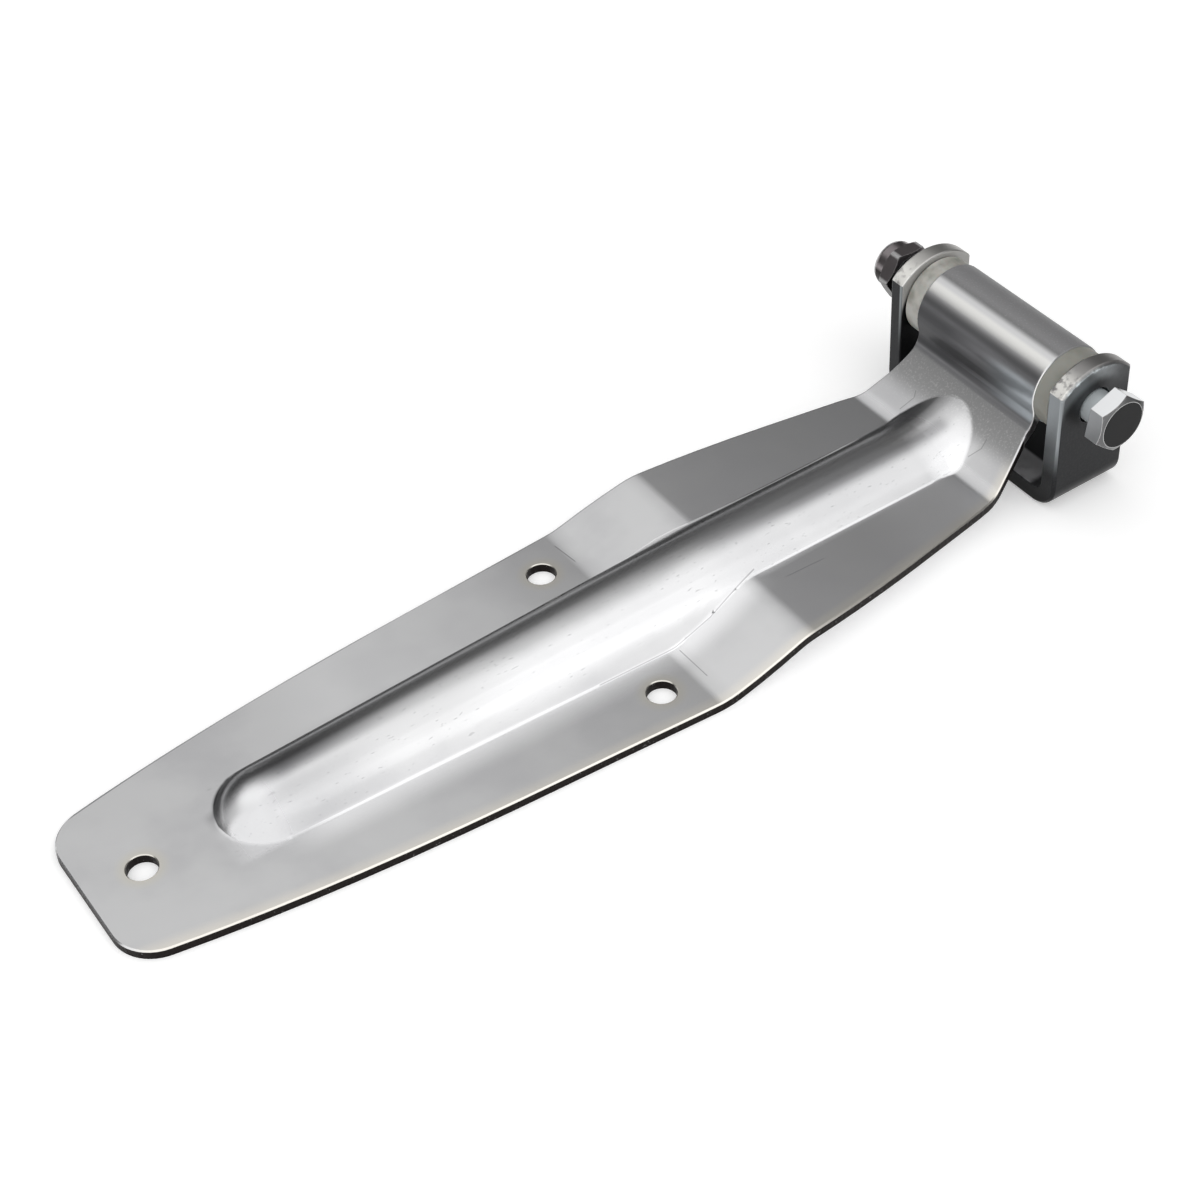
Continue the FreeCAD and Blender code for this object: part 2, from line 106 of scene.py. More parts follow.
# Thread: half of its crest's flat as a share of the pitch, and the slope of its flanks
HALF_CREST = 1 / 16
FLANK_SLOPE = math.sqrt(3)
END_ROWS = 0.49999
THREAD_MERGE_DISTANCE = 0.000005

# Camera of the photograph
CAMERA_PLACE = (0.4606, 0.4744, 0.5387)
CAMERA_HEADING = 238.58
CAMERA_DROP = 43.41
CAMERA_ROLL = -4.32
CAMERA_FOCAL_PIXELS = 2354.0
CAMERA_CENTRE_OFFSET = (2.5, 8.5)
IMAGE_WIDTH = 1200
SENSOR_WIDTH = 36.0

WHITE = (1, 1, 1, 1)

# Soft lamp, in degrees and metres
LAMP_HEADING = 110
LAMP_HEIGHT = 55
LAMP_DISTANCE = 1.8
LAMP_SIZE = 1.2

# Where the tent's open side begins and ends, as cosines of a heading and as sines of a height
OPEN_SIDE = (-0.36, -0.16)
LOW_DOWN = (0.82, 0.40)
BELOW_TOP = (0.97, 0.82)


def colour_property(name, place, default):
    return FloatVectorProperty(
        name=name, description="Colour of " + place, default=default, min=0, max=1, subtype="COLOR",
    )


def length_property(name, description, default):
    return FloatProperty(
        name=name, description=description, default=default, min=0, precision=5, unit="LENGTH",
    )


def share_property(name, description, default):
    return FloatProperty(name=name, description=description, default=default, min=0, max=1, subtype="FACTOR")


def angle_property(name, description, degrees):
    return FloatProperty(name=name, description=description, default=math.radians(degrees), subtype="ANGLE")


class LeafSettings(bpy.types.PropertyGroup):
    """Finish of the strap leaf."""

    zinc: colour_property("Zinc", "the bright zinc plate", (0.70, 0.70, 0.705))
    cloud: colour_property("Cloud", "the plate's darker clouds", (0.63, 0.63, 0.64))
    halo: colour_property("Halo", "the warmer plate round the holes", (0.72, 0.69, 0.61))
    root: colour_property("Root", "the plate on the steep root", (0.36, 0.36, 0.36))
    speckle: colour_property("Speckle", "the bright specks on root and eye", (0.85, 0.85, 0.84))
    rub: colour_property("Rub", "scratches and press marks", (0.16, 0.16, 0.165))
    # Partly painted shade: sheared steel is rough and dark, and this near black also stands in for the dark
    # reflections on the sheared edges
    sheared_steel_and_shade: colour_property("Cut steel", "the sheared edges", (0.017, 0.014, 0.013))
    # Painted shade, laid on the bead's far side, on its nose and along the far rim
    shade: colour_property("Shade", "the dull plate on the bead's far side", (0.165, 0.165, 0.172))
    # Painted shade on the eye's top
    eye_top_shade: colour_property("Eye top", "the dull plate on the eye's top", (0.155, 0.153, 0.157))
    # Painted highlight on the eye's shoulder
    shoulder_highlight: colour_property("Shoulder", "the brightest plate on the eye", (0.87, 0.865, 0.84))
    # Painted shade, laid low on the eye, on the bead's crest towards the root and on its near tip
    low_shade: colour_property("Low shade", "the dull plate low on the eye", (0.265, 0.265, 0.275))
    # Painted shade at its darkest, on the eye's low side and far end and on the bead's steep far side
    deep_shade: colour_property("Deep shade", "the dull plate at its darkest", (0.055, 0.055, 0.058))
    # Painted reflection, pale and bluish, low on the eye towards the bolt's head
    low_painted_reflection: colour_property("Low gleam", "the plate low on the eye by the bolt's head", (0.5, 0.54, 0.57))
    # Painted highlight line just inside the bead's far fold
    fold_highlight: colour_property("Fold line", "the line along the far fold", (0.62, 0.62, 0.625))
    # Painted highlight, laid along the bead's near fold, on its nose and near side, on the far pad and along
    # the far step's fold
    painted_highlight: colour_property("Gleam", "the burnished plate along the folds", (0.97, 0.97, 0.98))
    # Painted highlight, warm, along the leaf's near rim
    warm_rim_highlight: colour_property("Warm rim", "the warmer plate along the near rim", (0.93, 0.88, 0.78))
    roughness: share_property("Roughness", "Roughness of the plate", 0.23)
    halo_width: length_property("Halo width", "How far the warm tint reaches from a hole", 0.0045)
    mark_width: length_property("Mark width", "Half width of the press marks", 0.0003)
    mark_depth: length_property("Mark depth", "Depth of the press marks", 0.000015)
    # Width of the painted highlight line on the far step's fold
    fold_width: length_property("Fold width", "Half width of the burnished line on the far step", 0.0004)
    softening: length_property("Softening", "Width of the rounding on the sheet's edges", 0.0002)
    rim_rounding: length_property("Rim rounding", "Width of the rounding at the eye's ends", 0.0007)


class BracketSettings(bpy.types.PropertyGroup):
    """Finish of the U bracket."""

    zinc: colour_property("Zinc", "the plate on the arched tops", (0.33, 0.322, 0.316))
    # Partly painted: shoulders mottled by wear and made bright as painted highlight; the same colour lightens
    # the far ear as painted light
    wear_and_highlight: colour_property("Worn zinc", "the plate on the ears' worn shoulders", (0.85, 0.84, 0.80))
    # Painted highlight along the rim of an ear's face and in a strip on the far ear's edge
    rim: colour_property("Rim", "the plate along the rim of an ear's face", (0.85, 0.92, 0.94))
    side: colour_property("Side", "the plate on the bar's upright edges", (0.33, 0.352, 0.366))
    # Painted light: the ears' faces lighter high up than low down
    upper: colour_property("Upper", "the plate high on the ears' faces", (0.075, 0.0765, 0.079))
    # Painted highlight: a crescent above the bolt hole
    crescent_highlight: colour_property("Crescent", "the plate above the bolt hole", (0.34, 0.36, 0.37))
    # Painted light on the far ear's inner face above the bush
    inner: colour_property("Inner", "the far ear's inner face above the bush", (0.38, 0.375, 0.36))
    # Painted light on the web's inner face
    web: colour_property("Web", "the plate on the web's inner face", (0.34, 0.34, 0.35))
    # Painted shade round the outer bends
    under_shade: colour_property("Under", "the plate round the outer bends", (0.01, 0.01, 0.01))
    # Painted shade: the near black of the bar's end-on faces, its low parts and the far ear's upright faces
    face: colour_property("Face", "the plate on the bar's rolled faces", (0.024, 0.0245, 0.026))
    roughness: share_property("Roughness", "Roughness of the plate", 0.33)
    softening: length_property("Softening", "Width of the rounding on the bar's edges", 0.0003)


class BoltSettings(bpy.types.PropertyGroup):
    """Thread and finish of the hinge bolt and its nut."""

    zinc: colour_property("Zinc", "the bright zinc plate", (0.86, 0.87, 0.88))
    shank: colour_property("Shank", "the shank's plate", (0.72, 0.77, 0.79))
    # Painted shade on the head's end faces and on its flats that face away
    head_end_shade: colour_property("Head end", "the darker end face of the head", (0.014, 0.014, 0.0145))
    # Painted shade on the head's upright flats
    head_side_shade: colour_property("Head side", "the head's upright flats", (0.35, 0.36, 0.37))
    # Painted shade on the head's chamfer
    head_chamfer_shade: colour_property("Head chamfer", "the head's chamfer", (0.22, 0.22, 0.222))
    # Partly painted: the worn edges of head and nut, lit up on the nut's corners and collar rim as painted
    # highlight
    edge_wear_and_highlight: colour_property("Head edge", "the worn edges of head and nut", (0.6, 0.6, 0.6))
    nut_zinc: colour_property("Nut zinc", "the nut's plate", (0.25, 0.227, 0.233))
    # Painted shade on the nut's upright sides and ends
    nut_side_shade: colour_property("Nut side", "the nut's upright sides", (0.024, 0.021, 0.02))
    # Partly painted: the nut's worn rounded edges, pale as a painted highlight
    nut_edge_wear_and_highlight: colour_property("Nut edge", "the nut's burnished edges", (0.85, 0.84, 0.83))
    roughness: share_property("Roughness", "Roughness of the plate on head and nut", 0.24)
    radius: length_property("Radius", "Outer radius of the thread", 0.006)
    pitch: length_property("Pitch", "Pitch of the thread", 0.00175)
    depth: length_property("Depth", "Depth of the thread", 0.00107)
    threaded: length_property("Threaded length", "Length of the thread from the bolt's tip", 0.03)
    tip_chamfer: length_property("Tip chamfer", "Chamfer of the bolt's tip", 0.0012)
    segments: IntProperty(name="Segments", description="Faces round the shank", default=48, min=8)
    rows_per_turn: IntProperty(name="Rows per turn", description="Faces along a turn", default=8, min=4)
    softening: length_property("Softening", "Width of the rounding on the head's edges", 0.0003)
    nut_softening: length_property("Nut softening", "Width of the rounding on the nut's edges", 0.0005)


class BushSettings(bpy.types.PropertyGroup):
    """Finish of the nylon pieces."""

    # Painted shade: the bushes' nylon darkened, most on the near bush between ear and eye
    nylon: colour_property("Nylon", "the flanged bushes", (0.27, 0.268, 0.24))
    # Lighter painted shade on the far bush's nylon
    far_nylon_less_shaded: colour_property("Far nylon", "the fresher bush on the nut's side", (0.46, 0.45, 0.42))
    stain: colour_property("Stain", "the grease and dust in the nylon", (0.22, 0.22, 0.19))
    ring: colour_property("Ring", "the locking ring", (0.72, 0.72, 0.68))
    roughness: share_property("Roughness", "Roughness of the nylon", 0.42)


class StudioSettings(bpy.types.PropertyGroup):
    """Light and floor of the studio."""

    floor_colour: colour_property("Floor colour", "the plain floor", (0.9, 0.9, 0.9))
    floor_reach: length_property("Floor reach", "Half width of the floor", 6.0)
    floor_glow: share_property("Floor glow", "How much of the floor's white is its own glow", 0.3)
    brightness: FloatProperty(name="Brightness", description="Brightness of the tent", default=1.2, min=0)
    dark_heading: angle_property("Dark heading", "Heading of the tent's open side from +X", 235)
    dark_part: share_property("Dark part", "How much darker the open side is low down", 0.86)
    open_part: share_property("Open part", "How much darker the whole open side is", 0.28)
    gap_heading: angle_property("Gap heading", "Heading of the tent's gap from +X", 222)
    gap_height: angle_property("Gap height", "Height of the tent's gap", 36)
    gap_core: angle_property("Gap core", "How far the gap is fully dark", 7)
    gap_edge: angle_property("Gap edge", "Where the gap's dark ends from its middle", 21.5)
    gap_part: share_property("Gap part", "How much darker the gap is", 0.68)
    sheet_heading: angle_property("Sheet heading", "Heading of the hung sheet from +X", 301)
    sheet_height: angle_property("Sheet height", "Height of the hung sheet", 54)
    sheet_core: angle_property("Sheet core", "How far the sheet is fully bright", 12)
    sheet_edge: angle_property("Sheet edge", "Where the sheet's light ends from its middle", 23)
    sheet_part: share_property("Sheet part", "Brightness of the hung sheet against the tent's", 0.8)
    lamp_power: FloatProperty(name="Lamp power", description="Power of the lamp", default=1.0, unit="POWER")


def feed(tree, socket, source):
    """Gives a socket either another node's output or a plain value."""
    if isinstance(source, bpy.types.NodeSocket):
        tree.links.new(source, socket)
    else:
        socket.default_value = source


def add_node(tree, kind, values=(), named=None, **settings):
    """Adds a node with its settings, and feeds its inputs in order and by name."""
    made = tree.nodes.new(kind)
    for key, value in settings.items():
        setattr(made, key, value)
    for socket, source in zip(made.inputs, values):
        feed(tree, socket, source)
    for key, source in (named or {}).items():
        feed(tree, made.inputs[key], source)
    return made


def maths(tree, operation, *values):
    return add_node(tree, "ShaderNodeMath", values, operation=operation).outputs[0]


def arrows(tree, operation, *values, **named):
    """Vector maths, which gives a vector or a number."""
    made = add_node(tree, "ShaderNodeVectorMath", values, named=named, operation=operation)
    return made.outputs["Value" if operation in ("DOT_PRODUCT", "DISTANCE") else "Vector"]


def ease(tree, value, gone, full):
    """Runs smoothly from 0 at the first place of a value to 1 at the second."""
    if gone <= full:
        made = add_node(tree, "ShaderNodeMapRange", (value, gone, full), interpolation_type="SMOOTHSTEP")
        return made.outputs[0]
    return maths(tree, "SUBTRACT", 1.0, ease(tree, value, full, gone))


Spots = namedtuple("Spots", "scale detail gone full stretch", defaults=((1, 1, 1),))
Relief = namedtuple("Relief", "scale detail height stretch", defaults=((1, 1, 1),))


class Area:
    """Part of a finish: how much of it shows, its colour's setting, and the bands it lies in.

    A band is (gone, full), or (gone, full, full, gone), of one of the finish's measures.
    """

    def __init__(self, share, colour=None, **bands):
        self.share = share
        self.colour = colour
        self.bands = bands


class Finish:
    """A procedural material whose colour, roughness and relief are built up in steps.

    Colours go by the names of their settings.
    """

    def __init__(self, name, settings, colour="zinc", metallic=1.0, roughness=None):
        self.settings = settings
        self.material = bpy.data.materials.new(name)
        self.material.use_nodes = True
        self.tree = self.material.node_tree
        self.add = partial(add_node, self.tree)
        self.maths = partial(maths, self.tree)
        self.shader = self.tree.nodes["Principled BSDF"]
        self.colour = self.colour_of(colour)
        self.metallic = metallic
        self.roughness = settings.roughness if roughness is None else roughness
        self.relief = 0.0
        coordinates = self.add("ShaderNodeTexCoord").outputs
        self.place = coordinates["Object"]
        self.x, self.y, self.z = self.add("ShaderNodeSeparateXYZ", (self.place,)).outputs
        facing = self.add("ShaderNodeSeparateXYZ", (coordinates["Normal"],)).outputs
        self.measures = {"x": self.x, "y": self.y, "z": self.z}
        self.measures.update(zip(("facing_x", "facing_y", "facing_z"), facing))

    def colour_of(self, setting):
        return tuple(getattr(self.settings, setting)) + (1.0,)

    def both(self, *amounts):
        """Amount that is full only where all the given ones are."""
        return reduce(partial(self.maths, "MULTIPLY"), amounts)

    def either(self, *amounts):
        """Amount that is full where any of the given ones is."""
        return reduce(partial(self.maths, "MAXIMUM"), amounts)

    def within(self, **bands):
        """Amount that is full inside all the bands."""
        amounts = []
        for name, band in bands.items():
            amounts.append(ease(self.tree, self.measures[name], band[0], band[1]))
            if len(band) == 4:
                amounts.append(ease(self.tree, self.measures[name], band[3], band[2]))
        return self.both(*amounts)

    def reach(self, area, *masks):
        """How much of an area shows, only where all the masks are full."""
        return self.both(*masks, self.within(**area.bands), area.share)

    def lay(self, area, *masks):
        """Tints an area with its own colour and returns how much of it shows."""
        amount = self.reach(area, *masks)
        self.tint(amount, area.colour)
        return amount

    def noise(self, scale, detail, stretch=(1, 1, 1)):
        """Even noise from 0 to 1, drawn out along an axis by a small stretch value."""
        place = self.add("ShaderNodeMapping", named={"Vector": self.place, "Scale": stretch})
        named = {"Vector": place.outputs[0], "Scale": scale, "Detail": detail}
        return self.add("ShaderNodeTexNoise", named=named).outputs[0]

    def spots(self, spots):
        """Noise with its low part cut off, so that spots stand alone."""
        return ease(self.tree, self.noise(spots.scale, spots.detail, spots.stretch), spots.gone, spots.full)

    def distance_from_axis(self, height):
        """Distance from a line along Y at a height."""
        return self.length_of(self.x, self.maths("SUBTRACT", self.z, height))

    def distance_from(self, x, y):
        """Distance in the leaf's plan from a point."""
        return self.length_of(self.maths("SUBTRACT", self.x, x), self.maths("SUBTRACT", self.y, y))

    def length_of(self, across, along):
        """Length of the line that runs so far across and so far along."""
        squares = (self.maths("MULTIPLY", part, part) for part in (across, along))
        return self.maths("SQRT", self.maths("ADD", *squares))

    def inside_by(self, half_widths):
        """Distance across the leaf from a pair of long edges to the point between them."""
        share = self.maths("DIVIDE", self.x, LENGTH_ON_CURVE)
        curve = self.add("ShaderNodeFloatCurve", (1.0, share))
        points = curve.mapping.curves[0].points
        places = [(x / LENGTH_ON_CURVE, half_width / LENGTH_ON_CURVE) for x, half_width in half_widths]
        points[0].location, points[1].location = places[0], places[-1]
        for place in places[1:-1]:
            points.new(*place)
        curve.mapping.update()
        half_width = self.maths("MULTIPLY", curve.outputs[0], LENGTH_ON_CURVE)
        return self.maths("SUBTRACT", half_width, self.maths("ABSOLUTE", self.y))

    def along_lines(self, corners, width):
        """Full on a run of lines in the leaf's plan."""
        return self.either(*(self.near_line(*line, width) for line in zip(corners, corners[1:])))

    def near_line(self, start, end, width):
        """Full on a line in the leaf's plan and gone a width away from it."""
        start = Vector((*start, 0))
        along = Vector((*end, 0)) - start
        flat = self.add("ShaderNodeCombineXYZ", (self.x, self.y, 0.0)).outputs[0]
        away = arrows(self.tree, "SUBTRACT", flat, start)
        share = arrows(self.tree, "DOT_PRODUCT", away, along / along.length_squared)
        share = self.add("ShaderNodeClamp", (share,)).outputs[0]
        foot = arrows(self.tree, "SCALE", along, Scale=share)
        return ease(self.tree, arrows(self.tree, "DISTANCE", away, foot), width, 0.0)

    def tint(self, amount, colour):
        """Lets another colour through by an amount from 0 to 1."""
        mix = self.add("ShaderNodeMix", data_type="RGBA")
        feed(self.tree, mix.inputs[0], amount)
        feed(self.tree, mix.inputs[6], self.colour)
        feed(self.tree, mix.inputs[7], self.colour_of(colour))
        self.colour = mix.outputs[2]

    def roughen(self, amount, by=1.0):
        """Adds to the roughness where the amount is full."""
        self.roughness = self.maths("ADD", self.roughness, self.maths("MULTIPLY", amount, by))

    def dull(self, amount, by=1.0):
        """Takes the mirror shine off the metal where the amount is full."""
        mirror = self.maths("SUBTRACT", 1.0, self.maths("MULTIPLY", amount, by))
        self.metallic = self.maths("MULTIPLY", self.metallic, mirror)

    def raise_by(self, amount, height):
        """Adds a relief of the given height in metres where the amount is full."""
        self.relief = self.maths("ADD", self.relief, self.maths("MULTIPLY", amount, height))

    def emboss(self, relief, *masks):
        """Adds an uneven relief where all the masks are full."""
        noise = self.noise(relief.scale, relief.detail, relief.stretch)
        self.raise_by(self.both(*masks, noise), relief.height)

    def close(self):
        """Feeds the shader and returns the material."""
        bump = {"Height": self.relief, "Distance": 1.0, "Strength": 1.0}
        sources = {"Base Color": self.colour, "Metallic": self.metallic, "Roughness": self.roughness}
        sources["Normal"] = self.add("ShaderNodeBump", named=bump).outputs[0]
        for name, source in sources.items():
            feed(self.tree, self.shader.inputs[name], source)
        return self.material


def put_on(piece, material):
    """Gives every material slot of a piece the same finish."""
    if not piece.material_slots:
        piece.data.materials.append(material)
    for slot in piece.material_slots:
        slot.material = material


def add_object(name, data):
    made = bpy.data.objects.new(name, data)
    bpy.context.scene.collection.objects.link(made)
    return made


def plain_mesh(piece):
    """Mesh of a piece with its modifiers, which then come off."""
    mesh = bpy.data.meshes.new_from_object(piece.evaluated_get(bpy.context.evaluated_depsgraph_get()))
    piece.modifiers.clear()
    return mesh


def merged_copy(node, piece_name):
    """Copy of a solid's mesh with its loose triangles joined into flat faces."""
    mesh = bpy.data.meshes.new(piece_name)
    form = bmesh.new()
    form.from_mesh(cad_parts[node].data)
    bmesh.ops.remove_doubles(form, verts=form.verts, dist=MERGE_DISTANCE)
    bmesh.ops.dissolve_limit(form, angle_limit=FLAT_ENOUGH, verts=form.verts, edges=form.edges)
    form.to_mesh(mesh)
    form.free()
    if "custom_normal" in mesh.attributes:
        mesh.attributes.remove(mesh.attributes["custom_normal"])
    return add_object(piece_name, mesh)


def from_axis(vertex):
    return math.hypot(vertex.co.x, vertex.co.z - AXIS_HEIGHT)


def rounded_edges(piece, width, finish, edge_finish):
    """Rounds the sharp edges of a piece, gives them their own finish and evens out its shading."""
    piece.data.shade_smooth()
    piece.data.materials.clear()
    piece.data.materials.append(finish)
    piece.data.materials.append(edge_finish)
    for face in piece.data.polygons:
        face.material_index = 0
    bevel = piece.modifiers.new("rounding", "BEVEL")
    bevel.material = 1
    bevel.width = width
    bevel.segments = 2
    bevel.limit_method = "ANGLE"
    bevel.angle_limit = SHARP_EDGE
    piece.modifiers.new("shading", "WEIGHTED_NORMAL").keep_sharp = True
    piece.data = plain_mesh(piece)


def zinc_relief(finish, grain, waves):
    """Fine grain and slow waves of a plated surface, as heights in metres."""
    finish.emboss(Relief(1900, 2, grain))
    finish.emboss(Relief(55, 1, waves))


# Texture of the leaf, as noise scales, levels and heights in metres
LEAF_CLOUDS = Spots(28, 4, 0.38, 0.68)
ROOT_SPECKLE = Spots(1500, 2, 0.5, 0.72)
EYE_SPECKLE = Spots(1900, 2, 0.55, 0.72)
RUB_SPECKS = Spots(1300, 1, 0.68, 0.76, (0.3, 1, 1))
EDGE_SPECKS = Spots(1400, 2, 0.66, 0.74)
ROOT_PEEL = Relief(1100, 2, 0.000018)
ROLLING_LINES = Relief(14, 2, 0.000003, (1, 60, 60))
SHEARED_LINES = Relief(700, 2, 0.0003, (1, 1, 0.25))

# Areas of the leaf: places in metres, facings as parts of the surface's normal
ON_EYE = (EYE_RADIUS + 0.0007, EYE_RADIUS + 0.0003)
OFF_EYE = ON_EYE[::-1]
PAST_ROOT = (0.022, 0.03)
BEFORE_ROOT = (0.020, 0.0165)
BEAD_SPAN = {"off_middle": (0.019, 0.016), "x": (0.317, 0.31)}
SPECKLED_ROOT = Area(0.3, "speckle", x=(0.034, 0.022))
STEEP_ROOT = Area(0.8, "root", x=(0.029, 0.0215), facing_x=(0.3, 0.55))
# Painted highlight on the far pad beside the bead
FAR_PAD_HIGHLIGHT = Area(0.45, "painted_highlight", y=(-0.017, -0.022), x=(0.17, 0.2, 0.25, 0.29))
# Painted shade on the eye's top
EYE_TOP_SHADE = Area(0.84, "eye_top_shade", facing_x=(0.43, 0.27))
EYE_TOP_DULL = Area(0.75, facing_x=(0.35, 0.15))
EYE_TOP_ROUGH = Area(0.18, facing_x=(0.5, 0.3))
# Painted highlight on the eye's shoulder
EYE_SHOULDER_HIGHLIGHT = Area(0.9, "shoulder_highlight", facing_x=(0.46, 0.55, 0.68, 0.74))
# Painted shade low on the eye, deepest along its side and at its far end
EYE_LOW_SHADE = Area(0.95, "low_shade", facing_x=(0.70, 0.85), x=BEFORE_ROOT)
EYE_SIDE_SHADE = Area(0.55, "deep_shade", facing_x=(0.88, 0.94, 0.985, 0.998), x=BEFORE_ROOT)
EYE_FAR_LOW_SHADE = Area(0.9, "deep_shade", facing_x=(0.88, 0.97), x=BEFORE_ROOT, y=(0.008, -0.017))
# Painted reflection that pales the eye's low side towards the bolt's head
EYE_NEAR_LOW_REFLECTION = Area(0.9, "low_painted_reflection", facing_x=(0.9, 0.99), x=BEFORE_ROOT, y=(0.002, 0.024))
# Painted shade on the bead's far side, deepest where it is steep
BEAD_FAR_SIDE_SHADE = Area(0.93, "shade", facing_y=(-0.2, -0.45))
BEAD_STEEP_SIDE_SHADE = Area(0.9, "deep_shade", facing_y=(-0.4, -0.6))
# Painted shade on the bead's nose, and on its crest towards the root
BEAD_NOSE_SHADE = Area(0.8, "shade", x=(0.235, 0.29), y=(-0.0085, -0.004, -0.001, 0.0045))
BEAD_CREST_SHADE = Area(0.5, "low_shade", y=(-0.002, 0.0015, 0.0035, 0.0075), x=(0.026, 0.031, 0.09, 0.125))
# Painted highlight on the bead's nose
NOSE_LIGHT = Area(0.8, "painted_highlight", x=(0.288, 0.303), y=(-0.006, 0.002))
NOSE_DULL = Area(0.45, x=(0.288, 0.303, 0.309, 0.315), y=(-0.006, 0.002))
# Painted highlight on the bead's near side, and painted shade on its near tip
BEAD_NEAR_SIDE_HIGHLIGHT = Area(0.4, "painted_highlight", y=(0.003, 0.008), x=(0.24, 0.2))
BEAD_NEAR_TIP_SHADE = Area(0.3, "low_shade", y=(0.002, 0.007), x=(0.25, 0.285))
# Where the painted highlight beside the bead's near fold lies: on the pad, on the step and by the root
NEAR_FOLD = {"y": (0.0, 0.001), "past_fold": (-0.002, 0.0)}
GLEAM_ON_PAD = {"past_fold": (0.011, 0.0), "x": (0.115, 0.13, 0.28, 0.305)}
GLEAM_ON_STEP = {"past_fold": (0.003, 0.0), "x": (0.04, 0.045, 0.115, 0.13)}
GLEAM_BY_ROOT = Area(0.6, x=(0.036, 0.039, 0.05, 0.085), y=(0.0, 0.02))
LEVEL_GLEAM = Area(1.0, "painted_highlight", facing_z=(0.7, 0.9))
# Painted highlight line just inside the bead's far fold
FOLD_LINE_PLACE = 0.0005
FAR_FOLD_HIGHLIGHT = Area(
    0.85, "fold_highlight", off_line=(0.0009, 0.0004), y=(0.0, -0.001), x=(0.045, 0.06, 0.285, 0.298),
)
# Painted shade along the far rim, and a painted warm highlight along the near rim
FAR_RIM_SHADE = Area(0.85, "shade", inset=(0.0011, 0.0004), y=(0.0, -0.001), facing_z=(0.4, 0.6))
NEAR_RIM_HIGHLIGHT = Area(0.6, "warm_rim_highlight", inset=(0.0055, 0.0), y=(0.0, 0.001), facing_z=(0.4, 0.6))
UPRIGHT_EDGE = {"levelness": (0.4, 0.2), "x": (0.0165, 0.018)}
ROLLED_SIDES = (EYE_HALF_LENGTH - 0.0006, EYE_HALF_LENGTH - 0.0003)
FREE_END = (LEAF_BOX[1][0] - 0.0155, LEAF_BOX[1][0] - 0.0145)
IN_HOLE = (HOLE_RADIUS + 0.0004, HOLE_RADIUS + 0.0002)
BELOW_EYE = (0.03, 0.028)


def leaf_eye_finish(finish):
    """Painted shade on the eye's top and low side, a painted highlight on its shoulder, and a painted
    reflection that pales the low side towards the bolt's head.
    """
    on_eye = finish.within(from_axis=ON_EYE)
    finish.lay(EYE_TOP_SHADE, on_eye)
    finish.dull(finish.reach(EYE_TOP_DULL, on_eye))
    finish.tint(finish.both(on_eye, finish.spots(EYE_SPECKLE), 0.08), "speckle")
    finish.lay(EYE_SHOULDER_HIGHLIGHT, on_eye)
    finish.roughen(finish.reach(EYE_TOP_ROUGH, on_eye))
    for area in (EYE_LOW_SHADE, EYE_SIDE_SHADE, EYE_FAR_LOW_SHADE, EYE_NEAR_LOW_REFLECTION):
        finish.lay(area)


def leaf_bead_finish(finish, on_bead):
    """Painted shade on the bead's far side, nose, root end and near tip, painted highlights on its nose and
    near side and along its near fold, and a painted highlight line along its far fold.
    """
    finish.lay(BEAD_FAR_SIDE_SHADE)
    finish.lay(BEAD_STEEP_SIDE_SHADE)
    for area in (BEAD_NOSE_SHADE, BEAD_CREST_SHADE, NOSE_LIGHT, BEAD_NEAR_SIDE_HIGHLIGHT, BEAD_NEAR_TIP_SHADE):
        finish.lay(area, on_bead)
    finish.dull(finish.reach(NOSE_DULL, on_bead))
    past_fold = finish.maths("MULTIPLY", finish.inside_by(BEAD_HALF_WIDTHS), -1.0)
    finish.measures["past_fold"] = past_fold
    near_fold = finish.within(**NEAR_FOLD)
    on_pad = finish.both(near_fold, finish.within(**GLEAM_ON_PAD))
    on_step = finish.both(near_fold, finish.within(**GLEAM_ON_STEP))
    # Painted highlight beside the near fold and by the root
    finish.lay(LEVEL_GLEAM, finish.either(on_pad, on_step, finish.reach(GLEAM_BY_ROOT)))
    finish.measures["off_line"] = finish.maths("ABSOLUTE", finish.maths("ADD", past_fold, FOLD_LINE_PLACE))
    finish.dull(finish.lay(FAR_FOLD_HIGHLIGHT))


def leaf_rims_finish(finish, past_root):
    """Painted shade along the far rim, a painted warm highlight along the near rim, warm halos round the
    holes, and dark sheared edges darkened further by painted shade.
    """
    finish.measures["inset"] = finish.inside_by(LEAF_HALF_WIDTHS)
    finish.lay(FAR_RIM_SHADE, past_root)
    finish.lay(NEAR_RIM_HIGHLIGHT, past_root)
    from_hole = 1.0
    for x, y in LEAF_HOLES:
        from_hole = finish.maths("MINIMUM", from_hole, finish.distance_from(x, y))
    finish.measures["from_hole"] = from_hole
    halo_edge = HOLE_RADIUS + finish.settings.halo_width
    finish.lay(Area(0.7, "halo", from_hole=(halo_edge, HOLE_RADIUS)))
    outside = finish.either(finish.within(off_middle=ROLLED_SIDES), finish.within(x=FREE_END))
    cut = finish.either(outside, finish.within(from_hole=IN_HOLE))
    cut = finish.both(finish.within(**UPRIGHT_EDGE), cut)
    # Dark sheared edges, darkened further by painted shade
    finish.tint(cut, "sheared_steel_and_shade")
    finish.tint(finish.both(cut, finish.spots(EDGE_SPECKS), 0.3), "zinc")
    finish.roughen(cut, by=0.3)
    finish.emboss(SHEARED_LINES, cut)


